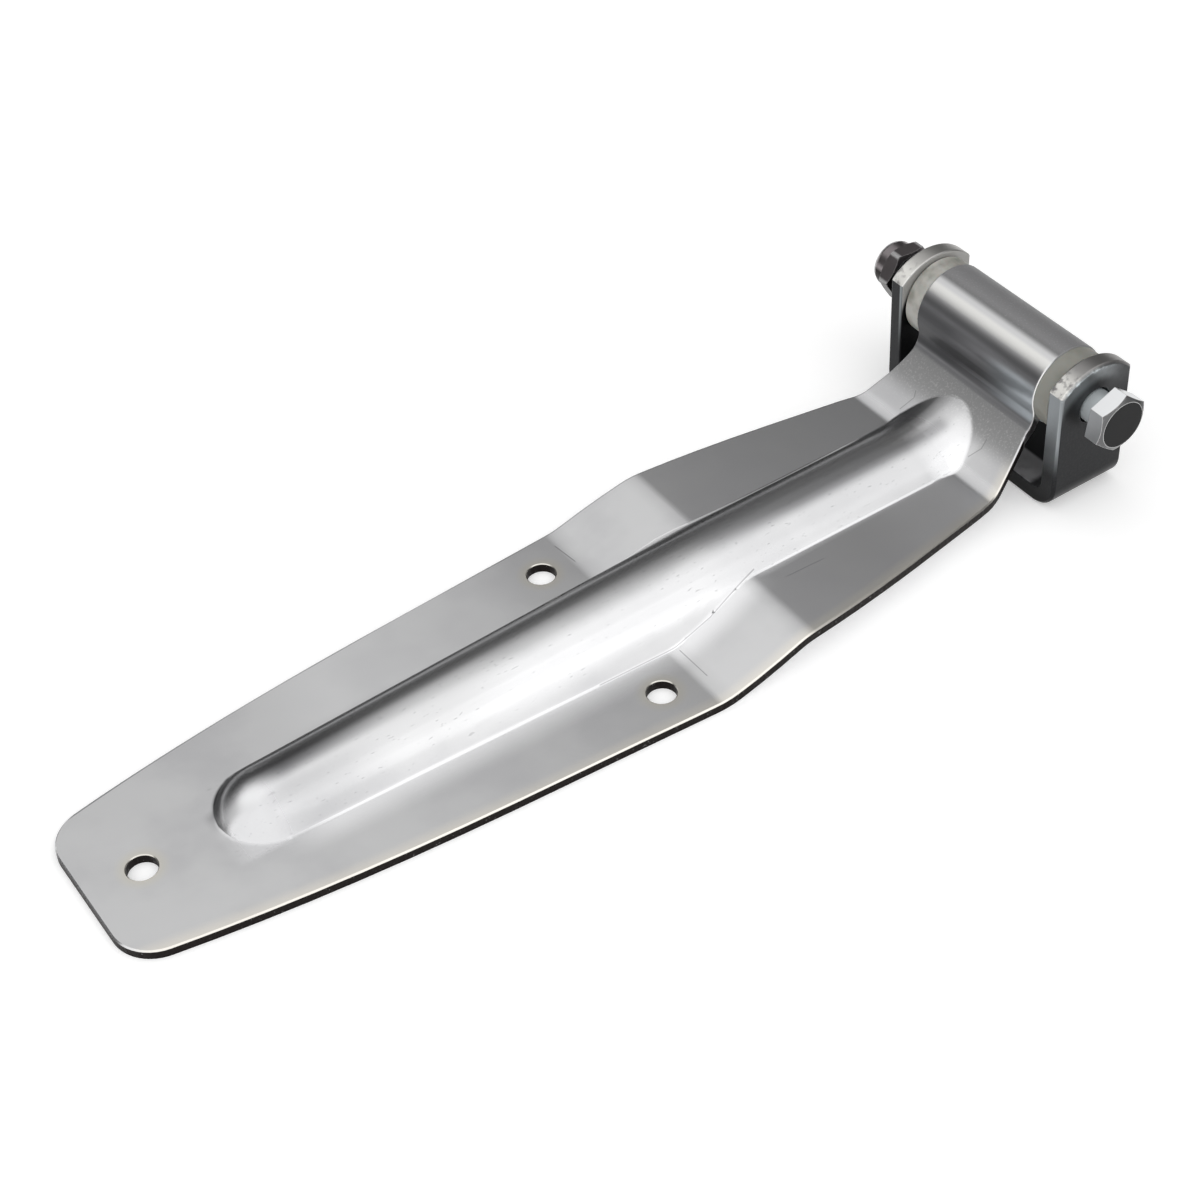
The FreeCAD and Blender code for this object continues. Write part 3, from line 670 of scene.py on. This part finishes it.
def leaf_marks(finish, on_bead):
    """Rub specks on the bead, dark press marks, and a painted highlight line along the far step's fold."""
    finish.tint(finish.both(on_bead, finish.spots(RUB_SPECKS), 0.25), "rub")
    settings = finish.settings
    marks = finish.either(*(finish.along_lines(corners, settings.mark_width) for corners in LEAF_MARKS))
    marks = finish.both(marks, finish.within(z=BELOW_EYE))
    finish.tint(finish.both(marks, 0.5), "rub")
    finish.raise_by(marks, -settings.mark_depth)
    step_fold_highlight = finish.both(finish.along_lines(FAR_STEP_FOLD, settings.fold_width), 0.75)
    finish.tint(step_fold_highlight, "painted_highlight")
    finish.dull(step_fold_highlight)


def leaf_finish(settings):
    """Satin zinc over pressed sheet, grainier on the steep root."""
    finish = Finish("leaf_zinc", settings)
    finish.measures["from_axis"] = finish.distance_from_axis(AXIS_HEIGHT)
    finish.measures["off_middle"] = finish.maths("ABSOLUTE", finish.y)
    finish.measures["levelness"] = finish.maths("ABSOLUTE", finish.measures["facing_z"])
    clouds = finish.spots(LEAF_CLOUDS)
    finish.tint(clouds, "cloud")
    off_eye = finish.within(from_axis=OFF_EYE)
    steep_root = finish.lay(STEEP_ROOT, off_eye)
    finish.lay(SPECKLED_ROOT, off_eye, finish.spots(ROOT_SPECKLE))
    finish.roughen(finish.within(x=(0.036, 0.028)), by=0.08)
    finish.roughen(steep_root, by=0.175)
    finish.roughen(clouds, by=0.03)
    past_root = finish.within(x=PAST_ROOT)
    on_bead = finish.both(past_root, finish.within(**BEAD_SPAN))
    # Painted highlight on the far pad
    finish.lay(FAR_PAD_HIGHLIGHT)
    leaf_bead_finish(finish, on_bead)
    leaf_eye_finish(finish)
    leaf_rims_finish(finish, past_root)
    zinc_relief(finish, grain=0.0000035, waves=0.00004)
    finish.emboss(ROOT_PEEL, finish.within(x=(0.034, 0.02)))
    finish.emboss(ROLLING_LINES)
    leaf_marks(finish, on_bead)
    return finish.close()


# Texture of the bracket
BAR_MOTTLE = Spots(650, 4, 0.42, 0.68)
BAR_WEAR = Spots(480, 4, 0.3, 0.54)
BAR_GRAIN = Spots(1300, 3, 0.4, 0.7)

# Areas of the bracket, as on the leaf
# Painted light over the far ear, and painted highlights on the worn shoulders
FAR_EAR_LIGHT = Area(0.35, "wear_and_highlight", y=(-0.01, -0.03))
SHOULDER_WEAR_AND_HIGHLIGHT = Area(0.85, "wear_and_highlight", x=(0.005, 0.0125))
WORN_TOP_DULL = Area(0.7, x=(0.005, 0.0125), facing_z=(0.15, 0.45))
UPRIGHT = Area(1.0, "side", facing_z=(0.45, 0.15))
# Where the painted shade of the bar's faces lies: end-on faces, low on the ears and the far side
ROLLED_FACE = (0.6, 0.95)
LOW_EAR_SHADE = (0.036, 0.014)
FAR_SIDE = (0.0, -0.03)
# Painted highlight in a strip on the far ear's edge
FAR_EDGE_HIGHLIGHT = Area(0.25, "rim", y=(-0.0391, -0.0386), z=(0.02, 0.046), facing_x=(0.6, 0.9))
# Painted light on the far ear's inner face above the bush
INNER_FACE_LIGHT = Area(
    1.0, "inner", y=(-0.01, -0.03), facing_y=(0.6, 0.95), from_arch=(0.0150, 0.0165), z=(0.03, 0.038),
)
# High on the ears' faces, lit up as painted light
UPPER_FACE = (0.036, 0.052)
# Painted highlights: a crescent above the bolt hole, and a band along the rim of an ear's face
CRESCENT_HIGHLIGHT = Area(0.85, "crescent_highlight", from_arch=(0.0135, 0.0175), x=(-0.013, 0.003))
RIM_HIGHLIGHT = Area(0.9, "rim", from_arch=(0.0188, 0.0202), x=(-0.012, 0.009))
# Painted light on the web's inner face
WEB_INSIDE_LIGHT = Area(1.0, "web", facing_z=(0.8, 0.95), z=(0.012, 0.01), x=(0.0035, 0.005), y=(0.0335, 0.031))
# Painted shade round the outer bends
OUTER_BENDS_SHADE = Area(0.85, "under_shade", z=(0.012, 0.002), facing_z=(0.5, 0.3))


def bracket_finish(settings):
    """Zinc over hot rolled bar, with painted shade on its rolled faces, low parts, far side and outer bends,
    and painted light and highlights on its worn shoulders, the far ear, the upper parts and rims of its
    faces, the far ear's inner face and the web.
    """
    finish = Finish("bracket_zinc", settings)
    finish.measures["from_arch"] = finish.distance_from_axis(EAR_ARCH_HEIGHT)
    finish.measures["end_on"] = finish.maths("ABSOLUTE", finish.measures["facing_y"])
    mottle = finish.spots(BAR_MOTTLE)
    wear = finish.spots(BAR_WEAR)
    # Painted light over the far ear and painted highlights on the worn shoulders
    finish.lay(FAR_EAR_LIGHT)
    finish.lay(SHOULDER_WEAR_AND_HIGHLIGHT, wear)
    finish.dull(finish.reach(WORN_TOP_DULL, wear))
    upright = finish.lay(UPRIGHT)
    rolled = finish.within(end_on=ROLLED_FACE)
    far_side = finish.both(upright, finish.within(y=FAR_SIDE))
    # Painted shade on the end-on faces, low on the ears and on the far ear's upright faces
    finish.tint(finish.either(rolled, finish.within(z=LOW_EAR_SHADE), far_side), "face")
    # Painted highlight strip on the far ear's edge
    finish.lay(FAR_EDGE_HIGHLIGHT, far_side)
    # Painted light high on the ears' faces, with painted highlights at the crescent and along the rim
    upper = finish.both(rolled, finish.within(z=UPPER_FACE))
    finish.tint(finish.both(upper, 0.85), "upper")
    finish.lay(CRESCENT_HIGHLIGHT, upper)
    finish.lay(RIM_HIGHLIGHT, upper, mottle)
    # Painted light on the far ear's inner face, dulled so that it shows
    finish.dull(finish.lay(INNER_FACE_LIGHT), by=0.8)
    grain = finish.both(finish.either(upright, rolled), finish.spots(BAR_GRAIN))
    finish.tint(finish.both(grain, 0.008), "wear_and_highlight")
    # Painted light on the web's inner face
    finish.lay(WEB_INSIDE_LIGHT)
    # Painted shade round the outer bends
    finish.lay(OUTER_BENDS_SHADE)
    finish.roughen(finish.noise(90, 3), by=0.12)
    finish.roughen(finish.both(upper, mottle), by=0.1)
    zinc_relief(finish, grain=0.000004, waves=0.00006)
    return finish.close()


class HINGE_OT_leaf(bpy.types.Operator):
    """Round the leaf's edges, most at the eye's ends, and finish it."""

    bl_idname = "hinge.leaf"
    bl_label = "Strap leaf"

    def execute(self, context):
        settings = context.scene.hinge_leaf
        piece = merged_copy("strap_leaf", "pressed_leaf")
        form = bmesh.new()
        form.from_mesh(piece.data)
        rims = [edge for edge in form.edges if self.on_rim(edge) and edge.calc_face_angle(0) > SQUARE_RIM]
        bmesh.ops.bevel(
            form, geom=rims, offset=settings.rim_rounding, segments=3, profile=0.5, affect="EDGES",
        )
        form.to_mesh(piece.data)
        form.free()
        material = leaf_finish(settings)
        rounded_edges(piece, settings.softening, material, material)
        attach(piece, "leaf_body")
        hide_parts("strap_leaf")
        return {"FINISHED"}

    @staticmethod
    def on_rim(edge):
        """Whether an edge lies on the outer rim of one of the eye's ends."""
        at_end = all(abs(abs(vertex.co.y) - EYE_HALF_LENGTH) < SAME_FACE for vertex in edge.verts)
        return at_end and all(from_axis(vertex) > EYE_RADIUS - JUST_INSIDE for vertex in edge.verts)


class HINGE_OT_bracket(bpy.types.Operator):
    """Round the bracket's edges and finish it."""

    bl_idname = "hinge.bracket"
    bl_label = "U bracket"

    def execute(self, context):
        settings = context.scene.hinge_bracket
        piece = merged_copy("bracket", "u_bracket")
        material = bracket_finish(settings)
        rounded_edges(piece, settings.softening, material, material)
        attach(piece, "bracket_body")
        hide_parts("bracket")
        return {"FINISHED"}


def thread_inputs(tree):
    """Named inputs of the thread's nodes, each with its socket's identifier."""
    lengths = ("Start", "Length", "Radius", "Pitch", "Depth", "Threaded Length", "Tip Chamfer", "Axis Height")
    kinds = dict.fromkeys(lengths, "NodeSocketFloat")
    kinds.update(Segments="NodeSocketInt", Rows="NodeSocketInt", Finish="NodeSocketMaterial")
    sockets = {}
    for name, kind in kinds.items():
        sockets[name] = tree.interface.new_socket(name, in_out="INPUT", socket_type=kind).identifier
    return sockets


def thread_radius(tree, given, turn, along, from_head):
    """Radius of the shank: a groove that winds down from the tip, a chamfered tip and two closed ends."""
    count = partial(maths, tree)
    from_tip = count("SUBTRACT", given["Length"], from_head)
    phase = count("FRACT", count("ADD", count("DIVIDE", from_head, given["Pitch"]), turn))
    past_crest = count("SUBTRACT", count("ABSOLUTE", count("SUBTRACT", phase, 0.5)), HALF_CREST)
    flank = count("MULTIPLY", count("MULTIPLY", past_crest, given["Pitch"]), FLANK_SLOPE)
    groove = count("MAXIMUM", count("MINIMUM", flank, given["Depth"]), 0.0)
    run_out = count("MAXIMUM", count("SUBTRACT", given["Threaded Length"], from_tip), 0.0)
    radius = count("SUBTRACT", given["Radius"], count("MINIMUM", groove, run_out))
    tip_radius = count("SUBTRACT", given["Radius"], given["Tip Chamfer"])
    radius = count("MINIMUM", radius, count("ADD", tip_radius, from_tip))
    return count("MULTIPLY", radius, count("LESS_THAN", count("ABSOLUTE", along), END_ROWS))


def thread_tree():
    """Geometry nodes that roll a grid into a shank with a thread cut down from its tip."""
    tree = bpy.data.node_groups.new("cut_thread", "GeometryNodeTree")
    tree.is_modifier = True
    sockets = thread_inputs(tree)
    tree.interface.new_socket("Geometry", in_out="OUTPUT", socket_type="NodeSocketGeometry")
    given = add_node(tree, "NodeGroupInput").outputs
    count = partial(maths, tree)
    grid = add_node(tree, "GeometryNodeMeshGrid", (1.0, 1.0, given["Segments"], given["Rows"])).outputs[0]
    place = add_node(tree, "GeometryNodeInputPosition").outputs[0]
    across, along, _ = add_node(tree, "ShaderNodeSeparateXYZ", (place,)).outputs
    turn = count("ADD", across, 0.5)
    from_head = count("MULTIPLY", count("ADD", along, 0.5), given["Length"])
    radius = thread_radius(tree, given, turn, along, from_head)
    angle = count("MULTIPLY", turn, 2 * math.pi)
    x = count("MULTIPLY", radius, count("COSINE", angle))
    z = count("ADD", count("MULTIPLY", radius, count("SINE", angle)), given["Axis Height"])
    y = count("SUBTRACT", given["Start"], from_head)
    place = add_node(tree, "ShaderNodeCombineXYZ", (x, y, z)).outputs[0]
    made = add_node(tree, "GeometryNodeSetPosition", named={"Geometry": grid, "Position": place}).outputs[0]
    closing = {"Geometry": made, "Distance": THREAD_MERGE_DISTANCE}
    made = add_node(tree, "GeometryNodeMergeByDistance", named=closing).outputs[0]
    made = add_node(tree, "GeometryNodeRealizeInstances", (made,)).outputs[0]
    finish = {"Geometry": made, "Material": given["Finish"]}
    add_node(tree, "NodeGroupOutput", (add_node(tree, "GeometryNodeSetMaterial", named=finish).outputs[0],))
    return tree, sockets


def threaded_shank(settings, material):
    """Shank of the bolt from inside its head to its tip, as a plain mesh."""
    shank = add_object("threaded_shank", bpy.data.meshes.new("threaded_shank"))
    tree, sockets = thread_tree()
    start = HEAD_SEAT + HEAD_HEIGHT / 2
    length = start - BOLT_BOX[0][1]
    values = {
        "Start": start, "Length": length, "Radius": settings.radius, "Pitch": settings.pitch,
        "Depth": settings.depth, "Threaded Length": settings.threaded, "Tip Chamfer": settings.tip_chamfer,
        "Axis Height": AXIS_HEIGHT, "Segments": settings.segments + 1,
        "Rows": int(length / settings.pitch * settings.rows_per_turn) + 1, "Finish": material,
    }
    modifier = shank.modifiers.new("thread", "NODES")
    modifier.node_group = tree
    for name, value in values.items():
        modifier[sockets[name]] = value
    mesh = plain_mesh(shank)
    bpy.data.objects.remove(shank)
    turn_outwards(mesh)
    mesh.set_sharp_from_angle(angle=SHARP_THREAD)
    return mesh


def turn_outwards(mesh):
    """Points the faces of a closed mesh outwards and smooths them."""
    form = bmesh.new()
    form.from_mesh(mesh)
    bmesh.ops.recalc_face_normals(form, faces=form.faces)
    for face in form.faces:
        face.smooth = True
    form.to_mesh(mesh)
    form.free()


# Areas of the bolt's head and of the nut, as on the leaf
# Painted shade on the head's upright flats, chamfer, far flats and end faces
HEAD_FLATS_SHADE = Area(1.0, "head_side_shade", facing_z=(0.3, 0.1))
HEAD_CHAMFER_SHADE = Area(1.0, "head_chamfer_shade", facing_y=(0.3, 0.45), facing_z=(0.85, 0.6))
HEAD_FAR_FLATS_SHADE = Area(1.0, "head_end_shade", facing_x=(-0.1, -0.4), facing_z=(0.85, 0.6))
HEAD_END_SHADE = Area(1.0, "head_end_shade", end_on=(0.8, 0.97))
# Painted shade on the nut's upright flats and ends, and painted highlights on its worn corners and collar rim
NUT_FLATS_SHADE = Area(1.0, "nut_side_shade", facing_z=(0.3, 0.1))
NUT_CORNER_HIGHLIGHT = Area(0.8, from_axis=(0.0103, 0.0107), facing_z=(-0.2, 0.15))
COLLAR_RIM_HIGHLIGHT = Area(0.8, from_axis=(0.0074, 0.0078, 0.0082, 0.0085), facing_y=(-0.2, -0.5))
NUT_END_SHADE = Area(1.0, "nut_side_shade", **HEAD_END_SHADE.bands)


def hexagon_finish(name, settings, colour="zinc", metallic=1.0):
    """Zinc of a bolt's head or nut, with uneven shine and relief."""
    finish = Finish(name, settings, colour, metallic)
    finish.measures["end_on"] = finish.maths("ABSOLUTE", finish.measures["facing_y"])
    finish.roughen(finish.noise(160, 3), by=0.12)
    finish.roughen(finish.within(**HEAD_END_SHADE.bands), by=0.08)
    zinc_relief(finish, grain=0.0000025, waves=0.00003)
    return finish


def head_finish(settings):
    """Bright zinc of the bolt's head, with painted shade on its upright flats, chamfer, far flats and end."""
    finish = hexagon_finish("bolt_zinc", settings)
    for area in (HEAD_FLATS_SHADE, HEAD_CHAMFER_SHADE, HEAD_FAR_FLATS_SHADE, HEAD_END_SHADE):
        finish.lay(area)
    return finish.close()


def nut_finish(settings):
    """Dark zinc of the nut, with painted shade on its upright flats and ends, and painted highlights on its
    worn corners and its collar's worn rim.
    """
    finish = hexagon_finish("nut_zinc", settings, "nut_zinc")
    finish.measures["from_axis"] = finish.distance_from_axis(AXIS_HEIGHT)
    finish.lay(NUT_FLATS_SHADE)
    # Worn corners and collar rim of the nut, lit as painted highlight
    wear_and_highlight = finish.either(finish.reach(NUT_CORNER_HIGHLIGHT), finish.reach(COLLAR_RIM_HIGHLIGHT))
    finish.tint(wear_and_highlight, "edge_wear_and_highlight")
    finish.dull(wear_and_highlight, by=0.7)
    finish.lay(NUT_END_SHADE)
    return finish.close()


def shank_finish(settings):
    """Pale, fairly dull zinc of the shank."""
    finish = Finish("shank_zinc", settings, "shank", metallic=0.5, roughness=0.4)
    zinc_relief(finish, grain=0.000003, waves=0.00003)
    return finish.close()


class HINGE_OT_bolt(bpy.types.Operator):
    """Cut the bolt's thread, round its head's edges and finish it."""

    bl_idname = "hinge.bolt"
    bl_label = "Hinge bolt"

    def execute(self, context):
        settings = context.scene.hinge_bolt
        head = merged_copy("hinge_bolt", "bolt_with_thread")
        self.take_off_shank(head.data, settings.radius)
        edges = hexagon_finish("bolt_edges", settings, "edge_wear_and_highlight").close()
        rounded_edges(head, settings.softening, head_finish(settings), edges)
        shank = add_object("shank", threaded_shank(settings, shank_finish(settings)))
        with context.temp_override(active_object=head, selected_editable_objects=[head, shank]):
            bpy.ops.object.join()
        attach(head, "bracket_body")
        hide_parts("hinge_bolt")
        return {"FINISHED"}

    @staticmethod
    def take_off_shank(mesh, radius):
        """Deletes the plain shank, whose place the threaded one takes."""
        form = bmesh.new()
        form.from_mesh(mesh)
        on_shank = [
            vertex for vertex in form.verts
            if from_axis(vertex) < radius + JUST_OUTSIDE and vertex.co.y < HEAD_SEAT - JUST_OUTSIDE
        ]
        bmesh.ops.delete(form, geom=on_shank, context="VERTS")
        form.to_mesh(mesh)
        form.free()


class HINGE_OT_nut(bpy.types.Operator):
    """Round the lock nut's edges, and finish it and its locking ring."""

    bl_idname = "hinge.nut"
    bl_label = "Lock nut"

    def execute(self, context):
        settings = context.scene.hinge_bolt
        nut = merged_copy("lock_nut", "collared_nut")
        # The nut's rounded edges, pale as a painted highlight
        edges = hexagon_finish("nut_edges", settings, "nut_edge_wear_and_highlight", metallic=0.4).close()
        rounded_edges(nut, settings.nut_softening, nut_finish(settings), edges)
        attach(nut, "bracket_body")
        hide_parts("lock_nut")
        put_on(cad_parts["locking_ring"], nylon_finish("ring_nylon", context.scene.hinge_bush, "ring"))
        return {"FINISHED"}


# Texture of the nylon, and where the far bush's lighter painted shade sets in
NYLON_STAINS = Spots(120, 3, 0.4, 0.75)
TURNING_MARKS = Relief(900, 2, 0.00001)
FAR_BUSH_LESS_SHADED = Area(1.0, "far_nylon_less_shaded", y=(0.01, -0.01))


def nylon_finish(name, settings, colour, used=False):
    """Natural nylon with the fine marks of turning and, where used, slow stains and a far end in lighter
    painted shade than the near one.
    """
    finish = Finish(name, settings, colour, metallic=0.0)
    if used:
        finish.lay(FAR_BUSH_LESS_SHADED)
        finish.tint(finish.spots(NYLON_STAINS), "stain")
    finish.roughen(finish.noise(300, 2), by=0.15)
    finish.emboss(TURNING_MARKS)
    finish.shader.inputs["Subsurface Weight"].default_value = 0.15
    finish.shader.inputs["Subsurface Scale"].default_value = 0.002
    return finish.close()


class HINGE_OT_bushes(bpy.types.Operator):
    """Finish the two flanged bushes."""

    bl_idname = "hinge.bushes"
    bl_label = "Nylon bushes"

    def execute(self, context):
        settings = context.scene.hinge_bush
        material = nylon_finish("bush_nylon", settings, "nylon", used=True)
        for name in ("head_side_bush", "nut_side_bush"):
            put_on(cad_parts[name], material)
        return {"FINISHED"}


def camera_rotation():
    """Axes of the camera from its heading, its drop below level and its roll."""
    heading = math.radians(CAMERA_HEADING)
    roll = math.radians(CAMERA_ROLL)
    forward = Vector(direction(heading, -math.radians(CAMERA_DROP)))
    level_right = Vector((math.sin(heading), -math.cos(heading), 0))
    level_up = level_right.cross(forward)
    right = level_right * math.cos(roll) + level_up * math.sin(roll)
    up = level_up * math.cos(roll) - level_right * math.sin(roll)
    return Matrix((right, up, -forward)).transposed()


def direction(heading, height):
    """Unit vector towards a heading and a height above level, in radians."""
    return (math.cos(height) * math.cos(heading), math.cos(height) * math.sin(heading), math.sin(height))


def studio_sky(settings):
    """White tent round the object, open to a dark room on one side, with a gap and a hung white sheet."""
    world = bpy.data.worlds.new("sky")
    world.use_nodes = True
    tree = world.node_tree
    count = partial(maths, tree)
    looking = add_node(tree, "ShaderNodeTexCoord").outputs["Generated"]

    def towards(heading, height):
        return arrows(tree, "DOT_PRODUCT", looking, direction(heading, height))

    height = add_node(tree, "ShaderNodeSeparateXYZ", (looking,)).outputs[2]
    open_side = ease(tree, towards(settings.dark_heading, 0), *OPEN_SIDE)
    low_down = count("MULTIPLY", ease(tree, height, *LOW_DOWN), open_side)
    below_top = count("MULTIPLY", ease(tree, height, *BELOW_TOP), open_side)
    gap = towards(settings.gap_heading, settings.gap_height)
    gap = ease(tree, gap, math.cos(settings.gap_edge), math.cos(settings.gap_core))
    sheet = towards(settings.sheet_heading, settings.sheet_height)
    sheet = ease(tree, sheet, math.cos(settings.sheet_edge), math.cos(settings.sheet_core))
    strength = settings.brightness
    darks = ((low_down, settings.dark_part), (gap, settings.gap_part), (below_top, settings.open_part))
    for dark, share in darks:
        strength = count("MULTIPLY", count("SUBTRACT", 1.0, count("MULTIPLY", dark, share)), strength)
    lift = count("SUBTRACT", settings.brightness * settings.sheet_part, strength)
    strength = count("ADD", strength, count("MULTIPLY", lift, sheet))
    # The camera itself sees plain white, at a strength of 1
    seen = add_node(tree, "ShaderNodeLightPath").outputs["Is Camera Ray"]
    strength = count("ADD", count("MULTIPLY", strength, count("SUBTRACT", 1.0, seen)), seen)
    background = tree.nodes["Background"].inputs
    background["Color"].default_value = WHITE
    feed(tree, background["Strength"], strength)
    return world


def floor_finish(settings):
    """Plain floor that is seen as white, with the object's shadow on it."""
    material = bpy.data.materials.new("floor")
    material.use_nodes = True
    tree = material.node_tree
    plain = tree.nodes["Principled BSDF"]
    plain.inputs["Base Color"].default_value = tuple(settings.floor_colour) + (1,)
    plain.inputs["Roughness"].default_value = 0.9
    plain.inputs["Specular IOR Level"].default_value = 0.0
    glow = add_node(tree, "ShaderNodeEmission", named={"Color": WHITE, "Strength": settings.floor_glow})
    no_glow = add_node(tree, "ShaderNodeEmission", named={"Strength": 0.0})
    seen = add_node(tree, "ShaderNodeLightPath").outputs
    amount = maths(tree, "MAXIMUM", seen["Is Camera Ray"], seen["Is Glossy Ray"])
    amount = maths(tree, "MAXIMUM", amount, seen["Is Transmission Ray"])
    extra = add_node(tree, "ShaderNodeMixShader", (amount, no_glow.outputs[0], glow.outputs[0]))
    both = add_node(tree, "ShaderNodeAddShader", (plain.outputs[0], extra.outputs[0]))
    feed(tree, tree.nodes["Material Output"].inputs["Surface"], both.outputs[0])
    return material


class HINGE_OT_studio(bpy.types.Operator):
    """Floor, light and camera."""

    bl_idname = "hinge.studio"
    bl_label = "Studio"

    def execute(self, context):
        settings = context.scene.hinge_studio
        reach = settings.floor_reach
        corners = [(-reach, -reach, 0), (reach, -reach, 0), (reach, reach, 0), (-reach, reach, 0)]
        mesh = bpy.data.meshes.new("floor")
        mesh.from_pydata(corners, [], [(0, 1, 2, 3)])
        floor = add_object("floor", mesh)
        put_on(floor, floor_finish(settings))
        camera = bpy.data.cameras.new("camera")
        camera.sensor_width = SENSOR_WIDTH
        camera.lens = SENSOR_WIDTH * CAMERA_FOCAL_PIXELS / IMAGE_WIDTH
        camera.shift_x = -CAMERA_CENTRE_OFFSET[0] / IMAGE_WIDTH
        camera.shift_y = CAMERA_CENTRE_OFFSET[1] / IMAGE_WIDTH
        viewer = add_object("camera", camera)
        viewer.matrix_world = Matrix.Translation(CAMERA_PLACE) @ camera_rotation().to_4x4()
        context.scene.camera = viewer
        lamp = bpy.data.lights.new("soft_lamp", "AREA")
        lamp.shape = "DISK"
        lamp.size = LAMP_SIZE
        lamp.energy = settings.lamp_power
        holder = add_object("soft_lamp", lamp)
        towards = Vector(direction(math.radians(LAMP_HEADING), math.radians(LAMP_HEIGHT)))
        holder.location = towards * LAMP_DISTANCE
        holder.rotation_euler = towards.to_track_quat("Z", "Y").to_euler()
        context.scene.world = studio_sky(settings)
        context.scene.view_settings.view_transform = "Standard"
        return {"FINISHED"}


class HINGE_PT_sidebar(bpy.types.Panel):
    """Lists the hinge's pieces and their settings."""

    bl_idname = "HINGE_PT_sidebar"
    bl_label = "Rear Door Hinge"
    bl_space_type = "VIEW_3D"
    bl_region_type = "UI"
    bl_category = "Rear Hinge"

    def draw(self, context):
        for group, operators in SECTIONS.items():
            box = self.layout.box()
            for operator in operators:
                box.operator(operator.bl_idname)
            settings = getattr(context.scene, group)
            for name in settings.bl_rna.properties.keys():
                if name not in ("rna_type", "name"):
                    box.prop(settings, name)


SETTINGS = {
    "hinge_leaf": LeafSettings, "hinge_bracket": BracketSettings, "hinge_bolt": BoltSettings,
    "hinge_bush": BushSettings, "hinge_studio": StudioSettings,
}
SECTIONS = {
    "hinge_leaf": (HINGE_OT_leaf,), "hinge_bracket": (HINGE_OT_bracket,),
    "hinge_bolt": (HINGE_OT_bolt, HINGE_OT_nut), "hinge_bush": (HINGE_OT_bushes,),
    "hinge_studio": (HINGE_OT_studio,),
}
OPERATORS = [operator for operators in SECTIONS.values() for operator in operators]


def register():
    for item in list(SETTINGS.values()) + OPERATORS + [HINGE_PT_sidebar]:
        bpy.utils.register_class(item)
    for name, group in SETTINGS.items():
        setattr(bpy.types.Scene, name, PointerProperty(type=group))


def unregister():
    for name in SETTINGS:
        delattr(bpy.types.Scene, name)
    for item in [HINGE_PT_sidebar] + OPERATORS[::-1] + list(SETTINGS.values())[::-1]:
        bpy.utils.unregister_class(item)


def main():
    register()
    bpy.ops.hinge.leaf()
    bpy.ops.hinge.bracket()
    bpy.ops.hinge.bolt()
    bpy.ops.hinge.nut()
    bpy.ops.hinge.bushes()
    bpy.ops.hinge.studio()


if __name__ == "__main__":
    main()
